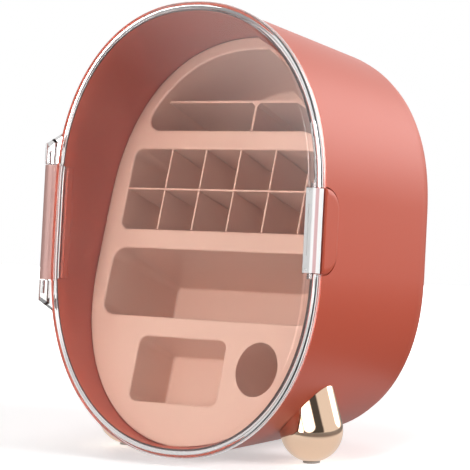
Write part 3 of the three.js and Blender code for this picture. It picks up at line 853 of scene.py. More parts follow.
@dataclass
class Feet:
    """Two ball feet that splay outwards, and the rubber that the case stands on."""

    section: CaseSection
    sides: dict[str, int]
    radius: float = 25.4 * MM
    spread: float = 176 * MM
    setback: float = 65 * MM
    drop: float = 155 * MM
    splay: float = math.radians(18)
    length: float = 60 * MM
    pad_radius: float = 7.3 * MM
    pad_height: float = 1.8 * MM
    screw_radius: float = 2.8 * MM
    boss_radius: float = 8 * MM
    boss_height: float = 9 * MM
    wall: float = 3 * MM
    gap: float = 0.3 * MM
    bite: float = 16.3 * MM
    ball_steps: int = 24
    seat_error: float = 0.001 * MM
    pad_edges: Edges = Edges(0.25 * MM)
    screw_edges: Edges = Edges(0.3 * MM)
    washer_edges: Edges = Edges(0.2 * MM)
    rear_edges: Edges = Edges(0.5 * MM)

    def axis(self, side: int) -> Vector:
        """The direction up a foot."""
        return Vector((-side * math.sin(self.splay), 0, math.cos(self.splay)))

    def point(self, side: int, along: float) -> Vector:
        """A point of a foot's axis, measured up from the middle of its ball."""
        return Vector((side * self.spread / 2, self.setback, -self.drop)) + self.axis(side) * along

    def seat(self) -> float:
        """Looks for the case's surface along a foot's axis.

        Returns:
            How far up its axis a foot meets the case.
        """
        low, high = -self.radius, self.length
        while high - low > self.seat_error:
            middle = (low + high) / 2
            if self.section.holds(self.point(1, middle), 0):
                high = middle
            else:
                low = middle
        return high

    def boss(self, side: int) -> Solid:
        """The boss inside the case that a foot's screw stands on."""
        ends = [self.seat() - self.boss_height, self.seat() + self.wall + self.boss_height]
        return Mould().rod(self.boss_radius, *[self.point(side, end) for end in ends]).make("boss")

    def screw_way(self, side: int) -> Solid:
        """The room for a foot's screw."""
        ends = [self.point(side, self.seat() + far) for far in (-self.bite, self.wall + self.boss_height * 2)]
        return Mould().rod(self.screw_radius, *ends, segments=HOLE_SEGMENTS).make("screw way")

    def pad_room(self, shop: Workshop, word: str) -> Solid:
        """Args:
            shop: Where the case's frame is known.
            word: left or right.

        Returns:
            The recess for that foot's pad, in the case frame.
        """
        low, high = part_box(f"foot_pad_{word}")
        x, y = (low.x + high.x) / 2, (low.y + high.y) / 2
        ends = [Vector((x, y, z)) for z in (-self.pad_height, high.z + self.gap)]
        room = Mould().rod(self.pad_radius, *ends).make("pad room")
        room.data.transform(shop.place.inverted())
        return room

    def foot(self, shop: Workshop, shell: CaseShell, word: str, side: int) -> Solid:
        """Args:
            shop: Where the case's frame is known.
            shell: The case that the foot is cut to.
            word: left or right.
            side: -1 for the left foot and 1 for the right one.

        Returns:
            The foot, in the case frame.
        """
        up, centre = self.axis(side), self.point(side, 0)
        out = up.orthogonal().normalized()
        profile = [centre + out * (self.radius * math.sin(a)) - up * (self.radius * math.cos(a))
                   for a in quarter(self.ball_steps)]
        profile += [centre + up * self.length + out * self.radius, centre + up * self.length]
        foot = Mould().lathe(profile, centre, up).make(f"ball_foot_{word}")
        join_solids(foot, Join.CUT, shell.body(-self.gap, -self.length), self.screw_way(side),
                    self.pad_room(shop, word))
        bm = bmesh.new()
        bm.from_mesh(foot.data)
        bmesh.ops.remove_doubles(bm, verts=bm.verts[:], dist=CUT_WELD)
        bm.to_mesh(foot.data)
        bm.free()
        return smooth(foot)

    def build(self, shop: Workshop, shell: CaseShell) -> None:
        """Builds both feet, and dresses their pads and screws.

        Args:
            shop: Where they are dressed.
            shell: The case that they stand under.
        """
        for word, side in self.sides.items():
            shop.deliver(self.foot(shop, shell, word, side), Body.CASE, Slot.GOLD, f"foot_{word}")
            shop.refine(f"foot_pad_{word}", Body.CASE, Slot.RUBBER, self.pad_edges)
            shop.refine(f"foot_screw_{word}", Body.CASE, Slot.STEEL, self.screw_edges)
            shop.refine(f"foot_washer_{word}", Body.CASE, Slot.STEEL, self.washer_edges)
        shop.refine("rear_pad", Body.CASE, Slot.RUBBER, self.rear_edges)


@dataclass
class HingeSide:
    """The hinge at the left: a pink block on the case, a pin, and the strip inside that it is screwed to."""

    rig: CaseFrame
    section: CaseSection
    backing_length: float = 92 * MM
    screw_spacing: float = 36 * MM
    screw_depth: float = 5.2 * MM
    screw_radius: float = 1.5 * MM
    block_edges: Edges = Edges(0.6 * MM, 3, math.radians(50))
    strip_edges: Edges = Edges(0.6 * MM, 3)
    pin_edges: Edges = Edges(0.3 * MM)
    screw_edges: Edges = Edges(0.2 * MM)

    def cutters(self, shell: CaseShell) -> list[Solid]:
        """Args:
            shell: The case.

        Returns:
            The notch in the lip for the strip, and the screws' holes.
        """
        _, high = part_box("hinge_backing_plate")
        strip_end = (self.rig.matrix().inverted() @ high).x
        outside, inside = -(self.section.half + shell.overrun), -(self.section.half - shell.wall)
        notch = Mould().box((inside, strip_end + shell.overrun), shell.lip_span,
                            self.rig.around(self.backing_length, shell.seat_gap)).make("notch")
        cutters = [notch]
        for step in (-1, 0, 1):
            z = self.rig.hardware_height + step * self.screw_spacing
            ends = [Vector((x, self.screw_depth, z)) for x in (outside, inside + shell.overrun)]
            hole = Mould().rod(self.screw_radius, *ends, segments=SMALL_HOLE_SEGMENTS)
            cutters.append(hole.make("screw hole"))
        return cutters

    def build(self, shop: Workshop) -> None:
        """Dresses the hinge's pieces.

        Args:
            shop: Where they are dressed.
        """
        shop.refine("hinge_bracket", Body.CASE, Slot.HINGE, self.block_edges)
        # The strip's darker finish is painted shade on its front face.
        shop.refine("hinge_backing_plate", Body.CASE, Slot.HINGE, self.strip_edges, Look.STRIP)
        shop.refine("hinge_pin", Body.CASE, Slot.STEEL, self.pin_edges)
        for number in (1, 2, 3):
            shop.refine(f"hinge_screw_{number}", Body.CASE, Slot.STEEL, self.screw_edges)


@dataclass
class LatchSide:
    """The latch at the right: the clear lever on the lid and the button on the case."""

    rig: CaseFrame
    section: CaseSection
    arm_width: float = 24 * MM
    arm_inner: float = 8.4 * MM
    lever_front: float = 13.4 * MM
    mark_inset: float = 5.4 * MM
    mark_depth: float = 3.2 * MM
    slot_width: float = 1 * MM
    slot_length: float = 40 * MM
    sink_radius: float = 0.9 * MM
    sink_spacing: float = 60 * MM
    recess: float = 2 * MM
    side_gap: float = 1.2 * MM
    front_share: float = 0.2
    button_length: float = 66 * MM
    button_reach: float = 24 * MM
    button_front: float = 0.8 * MM
    button_underside: float = 0.3 * MM
    button_thickness: float = 2.6 * MM
    button_round: float = 2.2 * MM
    button_squash: float = 2.4
    button_crease: float = math.radians(35)
    corner_reach: float = 21 * MM
    corner_height: float = 16 * MM
    corner_steps: int = 14
    round_steps: int = 6
    plunger_radius: float = 2.7 * MM
    plunger_depth: float = 10.75 * MM
    post_radius: float = 2.1 * MM
    post_spacing: float = 40 * MM
    pin_inset: float = 4.2 * MM
    pin_depth: float = 8.6 * MM
    pin_radius: float = 0.9 * MM
    spring_length: float = 40 * MM
    spring_wire: float = 0.6 * MM
    spring_turns: int = 22
    turn_steps: int = 12
    wire_segments: int = 6
    lever_edges: Edges = Edges(0.4 * MM, 3, math.radians(50))
    pin_edges: Edges = Edges(0.2 * MM)
    clip_edges: Edges = Edges(0.1 * MM)

    def button_outline(self, margin: float, x: float) -> Ring:
        """Args:
            margin: How far the outline is grown, least at the front when it is drawn in.
            x: Where it lies.

        Returns:
            The button's outline, straight at the front and round behind.
        """
        low, high = self.rig.around(self.button_length, margin)
        back = self.button_front + self.button_reach + margin
        reach, rise = self.corner_reach + margin, self.corner_height + margin
        front = self.button_front - margin * (1 if margin > 0 else self.front_share)
        outline = [Vector((x, front, low))]
        for centre, start in ((low + rise, -math.pi / 2), (high - rise, 0.0)):
            for turn in quarter(self.corner_steps):
                y = back - reach + reach * math.cos(start + turn)
                outline.append(Vector((x, y, centre + rise * math.sin(start + turn))))
        return outline + [Vector((x, front, high))]

    def cutters(self, shell: CaseShell) -> list[Solid]:
        """Args:
            shell: The case.

        Returns:
            The notch in the lip for the latch's arm, the button's recess, and the holes behind it.
        """
        half = self.section.half
        inside, outside, floor = half - shell.wall, half + shell.overrun, half - self.recess
        notch = Mould().box((half - self.arm_inner, inside), shell.lip_span,
                            self.rig.around(self.arm_width, shell.overrun))
        recess = Mould().prism(self.button_outline(self.side_gap, floor), Vector((outside - floor, 0, 0)))
        cutters = [notch.make("notch"), recess.make("recess")]
        depth = self.button_front + self.button_reach / 2
        holes = [(self.plunger_radius, self.plunger_depth, self.rig.hardware_height)]
        holes += [(self.post_radius, depth, z) for z in self.rig.around(self.post_spacing)]
        for radius, y, z in holes:
            ends = [Vector((x, y, z)) for x in (inside - shell.overrun, outside)]
            cutters.append(Mould().rod(radius, *ends, segments=HOLE_SEGMENTS).make("hole"))
        return cutters

    def button(self, shop: Workshop) -> None:
        """Draws the button's plate with a broad rounded edge, and joins to it the plunger and posts behind.

        Args:
            shop: Where it is dressed.
        """
        base = self.section.half - self.button_underside
        top, round_off = base + self.button_thickness, self.button_round
        rings = [self.button_outline(0, base)]
        for turn in quarter(self.round_steps):
            shrink = self.button_squash * round_off * (1 - math.cos(turn))
            rings.append(self.button_outline(-shrink, top - round_off * (1 - math.sin(turn))))
        plate = Mould()
        plate.skin(rings)
        piece = plate.make("release_button_piece")
        back = Mould.of_node("release_button")
        bm = back.bm
        bmesh.ops.transform(bm, matrix=shop.place.inverted(), verts=bm.verts[:])
        cut = bmesh.ops.bisect_plane(bm, geom=bm.verts[:] + bm.edges[:] + bm.faces[:], clear_outer=True,
                                     plane_co=(base + self.button_thickness / 4, 0, 0), plane_no=(1, 0, 0))
        rim = [e for e in cut["geom_cut"] if isinstance(e, bmesh.types.BMEdge)]
        bmesh.ops.holes_fill(bm, edges=rim, sides=0)
        join_solids(piece, Join.ADD, back.make("button back"))
        shop.deliver(smooth(piece, self.button_crease), Body.BUTTON, Slot.CASE, "release_button")

    def lever_marks(self) -> list[Solid]:
        """Draws the marks in the case frame.

        Returns:
            The slot down the lever's front face and the small round sinks past its ends.
        """
        x, half = self.section.half - self.mark_inset, self.slot_width / 2
        ys = (-self.lever_front - self.mark_depth, -self.lever_front + self.mark_depth)
        marks = [Mould().box((x - half, x + half), ys, self.rig.around(self.slot_length)).make("slot")]
        for z in self.rig.around(self.sink_spacing):
            ends = [Vector((x, y, z)) for y in ys]
            marks.append(Mould().rod(self.sink_radius, *ends, segments=SMALL_HOLE_SEGMENTS).make("sink"))
        return marks

    def spring(self, shop: Workshop) -> None:
        """Winds the latch's torsion spring round its pin.

        Args:
            shop: Where it is dressed.
        """
        x, y = self.section.half - self.pin_inset, -self.pin_depth
        low, high = self.rig.around(self.spring_length, -self.spring_wire)
        steps = self.turn_steps * self.spring_turns
        start = Vector((x + self.pin_radius + self.spring_wire, y, low))
        coil = Mould()
        section = Matrix.Translation(start) @ Matrix.Rotation(math.pi / 2, 4, "X")
        bmesh.ops.create_circle(coil.bm, cap_ends=False, segments=self.wire_segments,
                                radius=self.spring_wire / 2, matrix=section)
        bmesh.ops.spin(coil.bm, geom=coil.bm.verts[:] + coil.bm.edges[:], cent=(x, y, low), axis=(0, 0, 1),
                       dvec=(0, 0, (high - low) / steps), angle=FULL_TURN * self.spring_turns, steps=steps,
                       use_merge=False)
        bmesh.ops.holes_fill(coil.bm, edges=[e for e in coil.bm.edges if e.is_boundary], sides=0)
        piece = smooth(coil.make("latch_spring_piece"), ROUND_CREASE)
        shop.deliver(piece, Body.LATCH, Slot.STEEL, "latch_spring")

    def build(self, shop: Workshop) -> None:
        """Dresses the lever, its pin and spring, and the button with its clips.

        Args:
            shop: Where they are dressed.
        """
        lever = shop.refine("latch_lever", Body.LATCH, Slot.CLEAR, self.lever_edges, Look.FROSTED)
        for mark in self.lever_marks():
            mark.data.transform(shop.place)
            join_solids(lever, Join.CUT, mark)
        smooth(lever, FACET_CREASE)
        shop.refine("latch_pin", Body.LID, Slot.STEEL, self.pin_edges)
        self.spring(shop)
        self.button(shop)
        for number in (1, 2):
            shop.refine(f"button_clip_{number}", Body.BUTTON, Slot.STEEL, self.clip_edges)


# The lid


@dataclass
class Lid:
    """The clear lid: a flat pane with a rounded edge and a short skirt, with lugs for hinge and latch."""

    section: CaseSection
    rig: CaseFrame
    depth: float = 12.9 * MM
    wall: float = 3 * MM
    overhang: float = 1.8 * MM
    corner: float = 9.5 * MM
    inside_corner: float = 5.5 * MM
    rear: float = 0.3 * MM
    edge: float = 0.35 * MM
    steps: int = 10
    barrel_radius: float = 6 * MM
    barrel_length: float = 95 * MM
    lug_gap: float = 0.6 * MM
    lug_length: float = 25 * MM
    lug_full: float = 13 * MM
    lug_depth: float = 11 * MM
    pin_radius: float = 1.8 * MM
    pin_length: float = 118.6 * MM
    latch_length: float = 66.2 * MM
    latch_front: float = 8.7 * MM
    knuckle_length: float = 4 * MM
    knuckle_height: float = 4.6 * MM
    latch_pin_inset: float = 4.2 * MM
    latch_pin_depth: float = 8.6 * MM
    latch_pin_radius: float = 1.2 * MM
    latch_pin_length: float = 73.6 * MM
    boss_radius: float = 2.1 * MM
    seal_inset: float = 3.4 * MM
    seal_thickness: float = 1.8 * MM
    seal_front: float = 6 * MM
    seal_height: float = 1.2 * MM
    seal_points: int = 12
    seal_roundness: float = 0.6

    def corner_rings(self, inset: float, corner: float, front: float) -> list[Ring]:
        """The rings of a rounded front edge, from the skirt to the pane."""
        return [self.section.ring(0, inset + corner * (1 - math.cos(a)), front + corner * (1 - math.sin(a)))
                for a in quarter(self.steps)]

    def shell(self) -> Solid:
        """Draws the lid's section round the front.

        Returns:
            The pane and its skirt.
        """
        edge, rear, out, wall = self.edge, -self.rear, -self.overhang, self.wall
        soft = edge / 3
        over = [(out, rear - edge), (out + soft, rear - soft), (out + edge, rear), (wall - edge, rear),
                (wall - soft, rear - soft), (wall, rear - edge)]
        rim = [self.section.ring(0, inset, y) for inset, y in over]
        mould = Mould()
        mould.skin(self.corner_rings(out, self.corner, -self.depth)[::-1] + rim
                   + self.corner_rings(wall, self.inside_corner, -self.depth + wall))
        return mould.make("lid_piece")

    def lug(self, end: int) -> Solid:
        """Args:
            end: 1 for the upper lug and -1 for the lower one.

        Returns:
            The lug, which is full beside the hinge block and then slopes in to the skirt.
        """
        middle, hinge_x = self.rig.hardware_height, self.rig.hinge_x
        near = self.barrel_length / 2 + self.lug_gap
        start, full, stop = [middle + end * (near + far) for far in (0, self.lug_full, self.lug_length)]
        outer, root = hinge_x - self.barrel_radius, self.wall / 2 - self.section.half_width_at(stop)
        eye = Mould().rod(self.barrel_radius, *[Vector((hinge_x, 0, z)) for z in (start, stop)]).make("eye")
        web = Mould().box((hinge_x, root), (-self.lug_depth, -self.lug_gap), (start, stop)).make("web")
        face = [Vector((x, -self.lug_depth, z)) for x, z in (
            (outer, start), (root, start), (root, stop), (outer, full))]
        blank = Mould().prism(face, Vector((0, self.lug_depth * 2, 0))).make("blank")
        return join_solids(join_solids(eye, Join.ADD, web), Join.COMMON, blank)

    def knuckle(self, end: int) -> Solid:
        """Args:
            end: 1 for the upper end of the latch and -1 for the lower one.

        Returns:
            The small block there that holds the latch's pin.
        """
        half, front = self.section.half, -(self.depth - self.wall / 2)
        zs = [self.rig.hardware_height + end * (self.latch_length / 2 + z) for z in (0, self.knuckle_length)]
        return Mould().box((half - self.latch_pin_inset - self.boss_radius, half - self.wall / 2),
                           (front, front + self.knuckle_height), (zs[0], zs[1])).make("knuckle")

    def pin_hole(self, radius: float, x: float, y: float, length: float) -> Solid:
        """The round hole of an upright pin."""
        ends = [Vector((x, y, z)) for z in self.rig.around(length)]
        return Mould().rod(radius, *ends, segments=HOLE_SEGMENTS).make("pin hole")

    def seal(self, shop: Workshop) -> None:
        """Builds the soft seal with a rounded section.

        Args:
            shop: Where it is dressed.
        """
        half, middle = self.seal_thickness / 2, -self.seal_front + self.seal_height / 2
        rings = []
        for i in range(self.seal_points):
            turn = i / self.seal_points * FULL_TURN
            across, up = [math.copysign(abs(way) ** self.seal_roundness, way)
                          for way in (math.cos(turn), math.sin(turn))]
            rings.append(self.section.ring(0, self.seal_inset + half - half * across,
                                           middle + self.seal_height / 2 * up))
        mould = Mould()
        mould.skin(rings, closed=True)
        piece = smooth(mould.make("dust_seal_piece"), ROUND_CREASE)
        shop.deliver(piece, Body.LID, Slot.SEAL, "dust_seal")

    def build(self, shop: Workshop) -> None:
        """Builds the clear lid and its seal.

        Args:
            shop: Where they are dressed.
        """
        half = self.section.half
        lid = join_solids(self.shell(), Join.ADD, self.lug(-1), self.lug(1))
        notch = Mould().box((half - self.latch_front, half + self.depth), (-self.depth * 2, self.depth),
                            self.rig.around(self.latch_length)).make("latch notch")
        join_solids(lid, Join.CUT, notch)
        join_solids(lid, Join.ADD, self.knuckle(-1), self.knuckle(1))
        join_solids(lid, Join.CUT, self.pin_hole(self.pin_radius, self.rig.hinge_x, 0, self.pin_length),
                    self.pin_hole(self.latch_pin_radius, half - self.latch_pin_inset, -self.latch_pin_depth,
                                  self.latch_pin_length))
        shop.deliver(smooth(lid), Body.LID, Slot.CLEAR, "lid_cover")
        self.seal(shop)


# The tray


@dataclass(frozen=True)
class Pocket:
    """A pocket with straight sides: its outline on the tray's face, and how it narrows to its floor."""

    left: float
    right: float
    bottom: float
    top: float
    corner: float
    depth: float
    draft: float
    floor_round: float = 2.5 * MM
    lip: float = 1.8 * MM
    least_corner: float = 0.8 * MM
    steps: int = 8

    def ring(self, grow: float) -> list[Span]:
        """Args:
            grow: How far the outline is grown.

        Returns:
            The outline, as places across and up the face.
        """
        radius = max(self.corner + grow, self.least_corner)
        left, right = self.left - grow + radius, self.right + grow - radius
        bottom, top = self.bottom - grow + radius, self.top + grow - radius
        return [(x + radius * math.cos(turn * math.pi / 2 + a), s + radius * math.sin(turn * math.pi / 2 + a))
                for x, s, turn in ((right, bottom, -1), (right, top, 0), (left, top, 1), (left, bottom, 2))
                for a in quarter(self.steps)]


@dataclass(frozen=True)
class Cup:
    """An oval pocket."""

    x: float = 52.7 * MM
    s: float = -112.5 * MM
    half_width: float = 18.6 * MM
    half_height: float = 22.2 * MM
    depth: float = 62 * MM
    draft: float = 1.5 * MM
    floor_round: float = 4 * MM
    lip: float = 0.7 * MM
    points: int = 64

    def ring(self, grow: float) -> list[Span]:
        """Args:
            grow: How far the outline is grown.

        Returns:
            The outline, as places across and up the face.
        """
        angles = [i / self.points * FULL_TURN for i in range(self.points)]
        across, up = self.half_width + grow, self.half_height + grow
        return [(self.x + across * math.cos(a), self.s + up * math.sin(a)) for a in angles]


@dataclass(frozen=True)
class Arch:
    """The top compartment, whose upper edge follows the case."""

    fit: Callable[[float, float, float], bool]
    half_width: float = 95 * MM
    floor: float = 90.2 * MM
    corner: float = 9 * MM
    middle: float = 118 * MM
    reach: float = 120 * MM
    depth: float = 95 * MM
    draft: float = 0.0
    floor_round: float = 2.5 * MM
    lip: float = 1.8 * MM
    points: int = 120
    halvings: int = 20

    def inside(self, x: float, s: float, grow: float) -> bool:
        """Args:
            x: Across the face.
            s: Up the face.
            grow: How far the outline is grown.

        Returns:
            Whether the place lies inside the outline.
        """
        radius = self.corner + grow
        across = max(abs(x) - (self.half_width + grow - radius), 0)
        down = max(self.floor - grow + radius - s, 0)
        return across * across + down * down < radius * radius and self.fit(x, s, grow)

    def ring(self, grow: float) -> list[Span]:
        """Finds the outline along rays from inside it.

        Args:
            grow: How far the outline is grown.

        Returns:
            The outline, as places across and up the face.
        """
        places = []
        for i in range(self.points):
            angle = i / self.points * FULL_TURN
            dx, ds = math.cos(angle), math.sin(angle)
            low, high = 0.0, self.reach
            for _ in range(self.halvings):
                far = (low + high) / 2
                inside = self.inside(far * dx, self.middle + far * ds, grow)
                low, high = (far, high) if inside else (low, far)
            places.append((low * dx, self.middle + low * ds))
        return places


@dataclass
class Tray:
    """The one-piece tray: a face that leans back in the case, with pockets square to it."""

    section: CaseSection
    centre_depth: float = 63 * MM
    tilt: float = math.radians(15)
    case_wall: float = 3 * MM
    gap: float = 0.4 * MM
    thickness: float = 1.6 * MM
    skirt: float = 10 * MM
    edge: float = 1.6 * MM
    flat: float = 1 * MM
    arch_inset: float = 11.6 * MM
    points: int = 200
    reach: float = 260 * MM
    halvings: int = 22
    arc_steps: int = 4
    lipsticks: Pocket = Pocket(left=-104 * MM, right=104 * MM, bottom=1.7 * MM, top=73.1 * MM, corner=7 * MM,
                               depth=62 * MM, draft=1 * MM, floor_round=1.2 * MM)
    wide: Pocket = Pocket(left=-105 * MM, right=105 * MM, bottom=-73.8 * MM, top=-15.4 * MM, corner=11 * MM,
                          depth=100 * MM, draft=6.5 * MM)
    square: Pocket = Pocket(left=-62 * MM, right=20.5 * MM, bottom=-145.4 * MM, top=-90.9 * MM,
                            corner=7 * MM, depth=50 * MM, draft=4.5 * MM)
    cup: Cup = Cup()
    nodes: tuple[str, ...] = ("organizer_tray", "arch_tub", "lipstick_tub", "wide_tub", "square_tub",
                              "cup_tub")
    shelf_edges: Edges = Edges(0.35 * MM)
    divider_edges: Edges = Edges(0.3 * MM)

    def place(self, x: float, t: float, s: float) -> Vector:
        """Args:
            x: Across.
            t: Into the tray.
            s: Up the tray's face.

        Returns:
            The point in the case frame.
        """
        cos, sin = math.cos(self.tilt), math.sin(self.tilt)
        return Vector((x, self.centre_depth + t * cos + s * sin, s * cos - t * sin))

    def outline(self, inset: float, t: float) -> Ring:
        """Args:
            inset: How far inside the case's outer surface.
            t: How far behind the tray's face.

        Returns:
            The tray's outline there.
        """
        ring = []
        for i in range(self.points):
            angle = (i + 0.5) / self.points * FULL_TURN
            dx, ds = math.cos(angle), math.sin(angle)
            low, high = 0.0, self.reach
            for _ in range(self.halvings):
                far = (low + high) / 2
                point = self.place(far * dx, t, far * ds)
                sizes = self.section.sizes(min(point.y, self.section.corner_start), inset)
                fits = abs(point.z) < sizes[1] and self.section.holds(point, inset)
                low, high = (far, high) if fits else (low, far)
            ring.append(self.place(low * dx, t, low * ds))
        return ring

    def fits_arch(self, x: float, s: float, grow: float) -> bool:
        """Args:
            x: Across the face.
            s: Up the face.
            grow: How far the arch's outline is grown.

        Returns:
            Whether a place of the face keeps the arch's distance from the case.
        """
        point = self.place(x, 0, s)
        inset = self.case_wall + self.arch_inset - grow
        return point.z < self.section.sizes(point.y, 0)[1] and self.section.holds(point, inset)

    def sink(self, mould: Mould, pocket: Pocket | Cup | Arch) -> list[bmesh.types.BMEdge]:
        """Forms one pocket below the face, with a rounded lip and floor.

        Args:
            mould: The tray's mesh.
            pocket: The pocket.

        Returns:
            The edges where the lip meets the face.
        """
        arc, low = quarter(self.arc_steps), pocket.floor_round
        levels = [(pocket.lip + self.flat, 0.0)]
        levels += [(pocket.lip * (1 - math.sin(a)), pocket.lip * (1 - math.cos(a))) for a in arc]
        levels += [(-pocket.draft - low * (1 - math.cos(a)), pocket.depth - low + low * math.sin(a))
                   for a in arc]
        rings = [[self.place(x, t, s) for x, s in pocket.ring(grow)] for grow, t in levels]
        return mould.skin(rings, front=False)[0]

    def build(self, shop: Workshop) -> None:
        """Builds the tray's face, edge and pockets as one moulding, and dresses its inserts.

        Args:
            shop: Where they are dressed.
        """
        mould = Mould()
        inset = self.case_wall + self.gap
        rings = [self.outline(inset, self.skirt)]
        rings += [self.outline(inset + self.edge * (1 - math.cos(a)), self.edge * (1 - math.sin(a)))
                  for a in quarter(self.arc_steps)]
        rings.append(self.outline(inset + self.edge + self.flat, 0))
        outer = mould.skin(rings, front=False, back=False)[-1]
        pockets = (self.lipsticks, self.wide, self.square, self.cup, Arch(self.fits_arch))
        rims = [edge for pocket in pockets for edge in self.sink(mould, pocket)]
        bmesh.ops.triangle_fill(mould.bm, use_beauty=False, use_dissolve=False, edges=outer + rims)
        piece = mould.make("tray_piece")
        if sum(face.area * face.normal.y for face in piece.data.polygons) > 0:
            piece.data.flip_normals()
        wall = piece.modifiers.new("moulding thickness", "SOLIDIFY")
        wall.thickness = self.thickness
        wall.offset = -1
        shop.deliver(smooth(piece, FACET_CREASE), Body.CASE, Slot.TRAY, *self.nodes)
        shop.refine("shelf_insert", Body.CASE, Slot.TRAY, self.shelf_edges)
        for node in ("grid_cross_divider", *[f"grid_divider_{number}" for number in range(1, 6)]):
            shop.refine(node, Body.CASE, Slot.TRAY, self.divider_edges)


# The studio


@dataclass(frozen=True)
class Lamp:
    """One soft square lamp, which shiny surfaces don't mirror."""

    name: str
    place: Vector
    size: float
    power: float

    def build(self, target: Vector) -> None:
        """Args:
            target: What the lamp faces.
        """
        data = bpy.data.lights.new(self.name, "AREA")
        data.size = self.size
        data.energy = self.power
        lamp = bpy.data.objects.new(self.name, data)
        bpy.context.scene.collection.objects.link(lamp)
        lamp.location = self.place
        lamp.rotation_euler = (target - self.place).to_track_quat("-Z", "Y").to_euler()
        lamp.visible_glossy = False


@dataclass(frozen=True)
class Card:
    """A soft-edged bright card of the surround: it lies where two directions are both far enough along."""

    along: Vector
    edge: Span
    strength: float
    within: Vector = Vector((0, 0, 0))
    within_edge: Span = (-2, -1)

    def build(self, nodes: Nodes, direction: Socket) -> Socket:
        """Args:
            nodes: The world's nodes.
            direction: The direction looked in.

        Returns:
            The card's strength in that direction.
        """
        one = nodes.soft_step(nodes.along(direction, self.along), self.edge, (0, self.strength))
        other = nodes.soft_step(nodes.along(direction, self.within), self.within_edge)
        return nodes.combine("MULTIPLY", one, other)


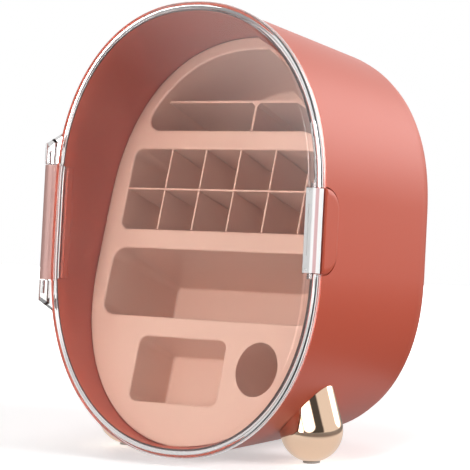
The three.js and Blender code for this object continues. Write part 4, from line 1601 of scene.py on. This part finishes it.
@dataclass(frozen=True)
class Studio:
    """A pale floor, a white surround, soft lamps and the camera."""

    camera_place: Vector = Vector((823.8 * MM, -1323.0 * MM, -45.2 * MM))
    yaw: float = math.radians(30.5)
    pitch: float = math.radians(-3.43)
    focal_pixels: float = 1957.9
    image_width: float = 470
    sensor: float = 36
    target: Vector = Vector((0, 0, 0.18))
    lamps: tuple[Lamp, ...] = (
        Lamp("side", Vector((1.9, 0.1, 0.7)), 0.9, 29),
        Lamp("front", Vector((-0.1, -2.25, 0.75)), 0.5, 17.5),
        Lamp("top", Vector((0.1, -0.1, 2.3)), 0.9, 9),
        Lamp("behind", Vector((-1.5, 1.8, 0.6)), 0.9, 26),
    )
    floor_half: float = 1.5
    floor_grey: float = 0.3
    floor_shown: float = 0.95
    floor_roughness: float = 0.9
    floor_specular: float = 0.1
    lift: Span = (0.51, 1)
    lift_radius: Span = (0.3, 0.9)
    pool: Span = (0.6, 0)
    pool_radius: Span = (0.18, 0.24)
    ambient: float = 0.09
    dark: float = 0.08
    dark_through: float = 0.3
    # What shiny surfaces mirror. The first card is the one that the pane shows
    mirrored: tuple[Card, ...] = (
        Card(Vector((1, 0, 1.1)), (-0.36, -0.24), 3.5, Vector((-1, -1, 0)), (0.95, 1.1)),
        Card(Vector((0, 0, 1)), (0.55, 0.8), 1.0),
        Card(Vector((0, 0, 1)), (-0.12, 0.25), 1.5, Vector((0, 1, 0)), (0.5, 0.8)),
        Card(Vector((0.46, 0.83, 0.32)), (0.93, 0.985), 5.0),
        Card(Vector((0, 1, 0)), (-0.35, -0.2), 0.85, Vector((1, 0, 0)), (0.0, 0.15)),
        Card(Vector((0.3, -0.87, 0.37)), (0.9, 0.96), 4.0),
    )
    # Clear plastic shows white straight behind the object, to its right and low down, and grey elsewhere
    seen_through: tuple[Card, ...] = (
        Card(Vector((-0.53, 0.848, 0)), (0.9, 0.985), 1.0),
        Card(Vector((1, 0, 0)), (-0.2, 0.2), 1.0),
        Card(Vector((0, 0, -1)), (-0.32, -0.15), 1.0),
    )

    def camera(self, place: Matrix) -> None:
        """Sets the camera where the photograph was taken from.

        Args:
            place: Where the case's frame lies.
        """
        data = bpy.data.cameras.new("camera")
        data.sensor_width = self.sensor
        data.lens = self.sensor * self.focal_pixels / self.image_width
        camera = bpy.data.objects.new("camera", data)
        bpy.context.scene.collection.objects.link(camera)
        camera.location = place @ self.camera_place
        camera.rotation_euler = (math.pi / 2 + self.pitch, 0, self.yaw)
        bpy.context.scene.camera = camera

    def floor(self) -> None:
        """Lays the floor, which the camera sees white where no shadow falls, and the feet's plating pale."""
        mould = Mould()
        bmesh.ops.create_grid(mould.bm, x_segments=1, y_segments=1, size=self.floor_half)
        floor = mould.make("floor")
        material, nodes, shader = new_material("pale floor", Roughness=self.floor_roughness,
                                               Specular_IOR_Level=self.floor_specular,
                                               Emission_Color=(1, 1, 1, 1))
        ray = nodes.add("ShaderNodeLightPath").outputs
        far = nodes.add("ShaderNodeVectorMath", operation="LENGTH")
        nodes.link(nodes.add("ShaderNodeTexCoord").outputs["Object"], far.inputs[0])
        pool = nodes.soft_step(far.outputs["Value"], self.pool_radius, self.pool)
        lift = nodes.soft_step(far.outputs["Value"], self.lift_radius, self.lift)
        seen = nodes.combine("MAXIMUM", ray["Is Camera Ray"], ray["Is Transmission Ray"])
        seen = nodes.combine("MULTIPLY", seen, lift)
        mirrored = nodes.combine("MULTIPLY", ray["Is Glossy Ray"], pool)
        grey = nodes.add("ShaderNodeMix", data_type="RGBA", A=(*[self.floor_grey] * 3, 1),
                         B=(*[self.floor_shown] * 3, 1))
        nodes.link(ray["Is Camera Ray"], grey.inputs["Factor"])
        nodes.link(grey.outputs["Result"], shader.inputs["Base Color"])
        nodes.link(nodes.combine("MAXIMUM", seen, mirrored), shader.inputs["Emission Strength"])
        floor.data.materials.append(material)

    def strongest(self, nodes: Nodes, cards: Sequence[Card], dark: float) -> Socket:
        """Args:
            nodes: The world's nodes.
            cards: The bright cards.
            dark: The strength between them.

        Returns:
            The strength in each direction of the brightest of the cards and the dark between them.
        """
        direction = nodes.add("ShaderNodeTexCoord").outputs["Generated"]
        value = nodes.add("ShaderNodeValue")
        value.outputs[0].default_value = dark
        most = value.outputs[0]
        for card in cards:
            most = nodes.combine("MAXIMUM", card.build(nodes, direction), most)
        return most

    def surround(self) -> None:
        """Gives the world its soft light, and shows it white to the camera and through glass."""
        world = bpy.data.worlds.new("surround")
        bpy.context.scene.world = world
        world.use_nodes = True
        world.node_tree.nodes.clear()
        nodes = Nodes(world.node_tree)
        ray = nodes.add("ShaderNodeLightPath")
        shown = nodes.add("ShaderNodeBackground", Color=(1, 0.99, 0.985, 1), Strength=self.ambient).outputs[0]
        for kind, cards, dark, colour in (
                ("Is Glossy Ray", self.mirrored, self.dark, (1, 0.985, 0.975, 1)),
                ("Is Transmission Ray", self.seen_through, self.dark_through, (1, 1, 1, 1)),
                ("Is Camera Ray", (), 1, (1, 1, 1, 1))):
            other = nodes.add("ShaderNodeBackground", Color=colour)
            nodes.link(self.strongest(nodes, cards, dark), other.inputs["Strength"])
            mix = nodes.add("ShaderNodeMixShader")
            nodes.link(ray.outputs[kind], mix.inputs["Fac"])
            nodes.link(shown, mix.inputs[1])
            nodes.link(other.outputs[0], mix.inputs[2])
            shown = mix.outputs[0]
        nodes.link(shown, nodes.add("ShaderNodeOutputWorld").inputs["Surface"])

    def build(self, place: Matrix) -> None:
        """Builds the studio.

        Args:
            place: Where the case's frame lies.
        """
        self.camera(place)
        self.floor()
        self.surround()
        for lamp in self.lamps:
            lamp.build(self.target)


def main() -> None:
    """Builds the organizer's pieces in order and reports each one."""
    logging.basicConfig(level=logging.INFO, format="%(name)s: %(message)s")
    bpy.context.scene.view_settings.view_transform = "Standard"
    rig = CaseFrame()
    section = CaseSection()
    place = rig.matrix()
    shop = Workshop(place, all_finishes(place))
    shell = CaseShell(section)
    feet = Feet(section, {"left": -1, "right": 1})
    hinge = HingeSide(rig, section)
    latch = LatchSide(rig, section)
    shell.build(shop, hinge, latch, feet)
    feet.build(shop, shell)
    hinge.build(shop)
    latch.build(shop)
    Tray(section).build(shop)
    Lid(section, rig).build(shop)
    Studio().build(place)


if __name__ == "__main__":
    main()
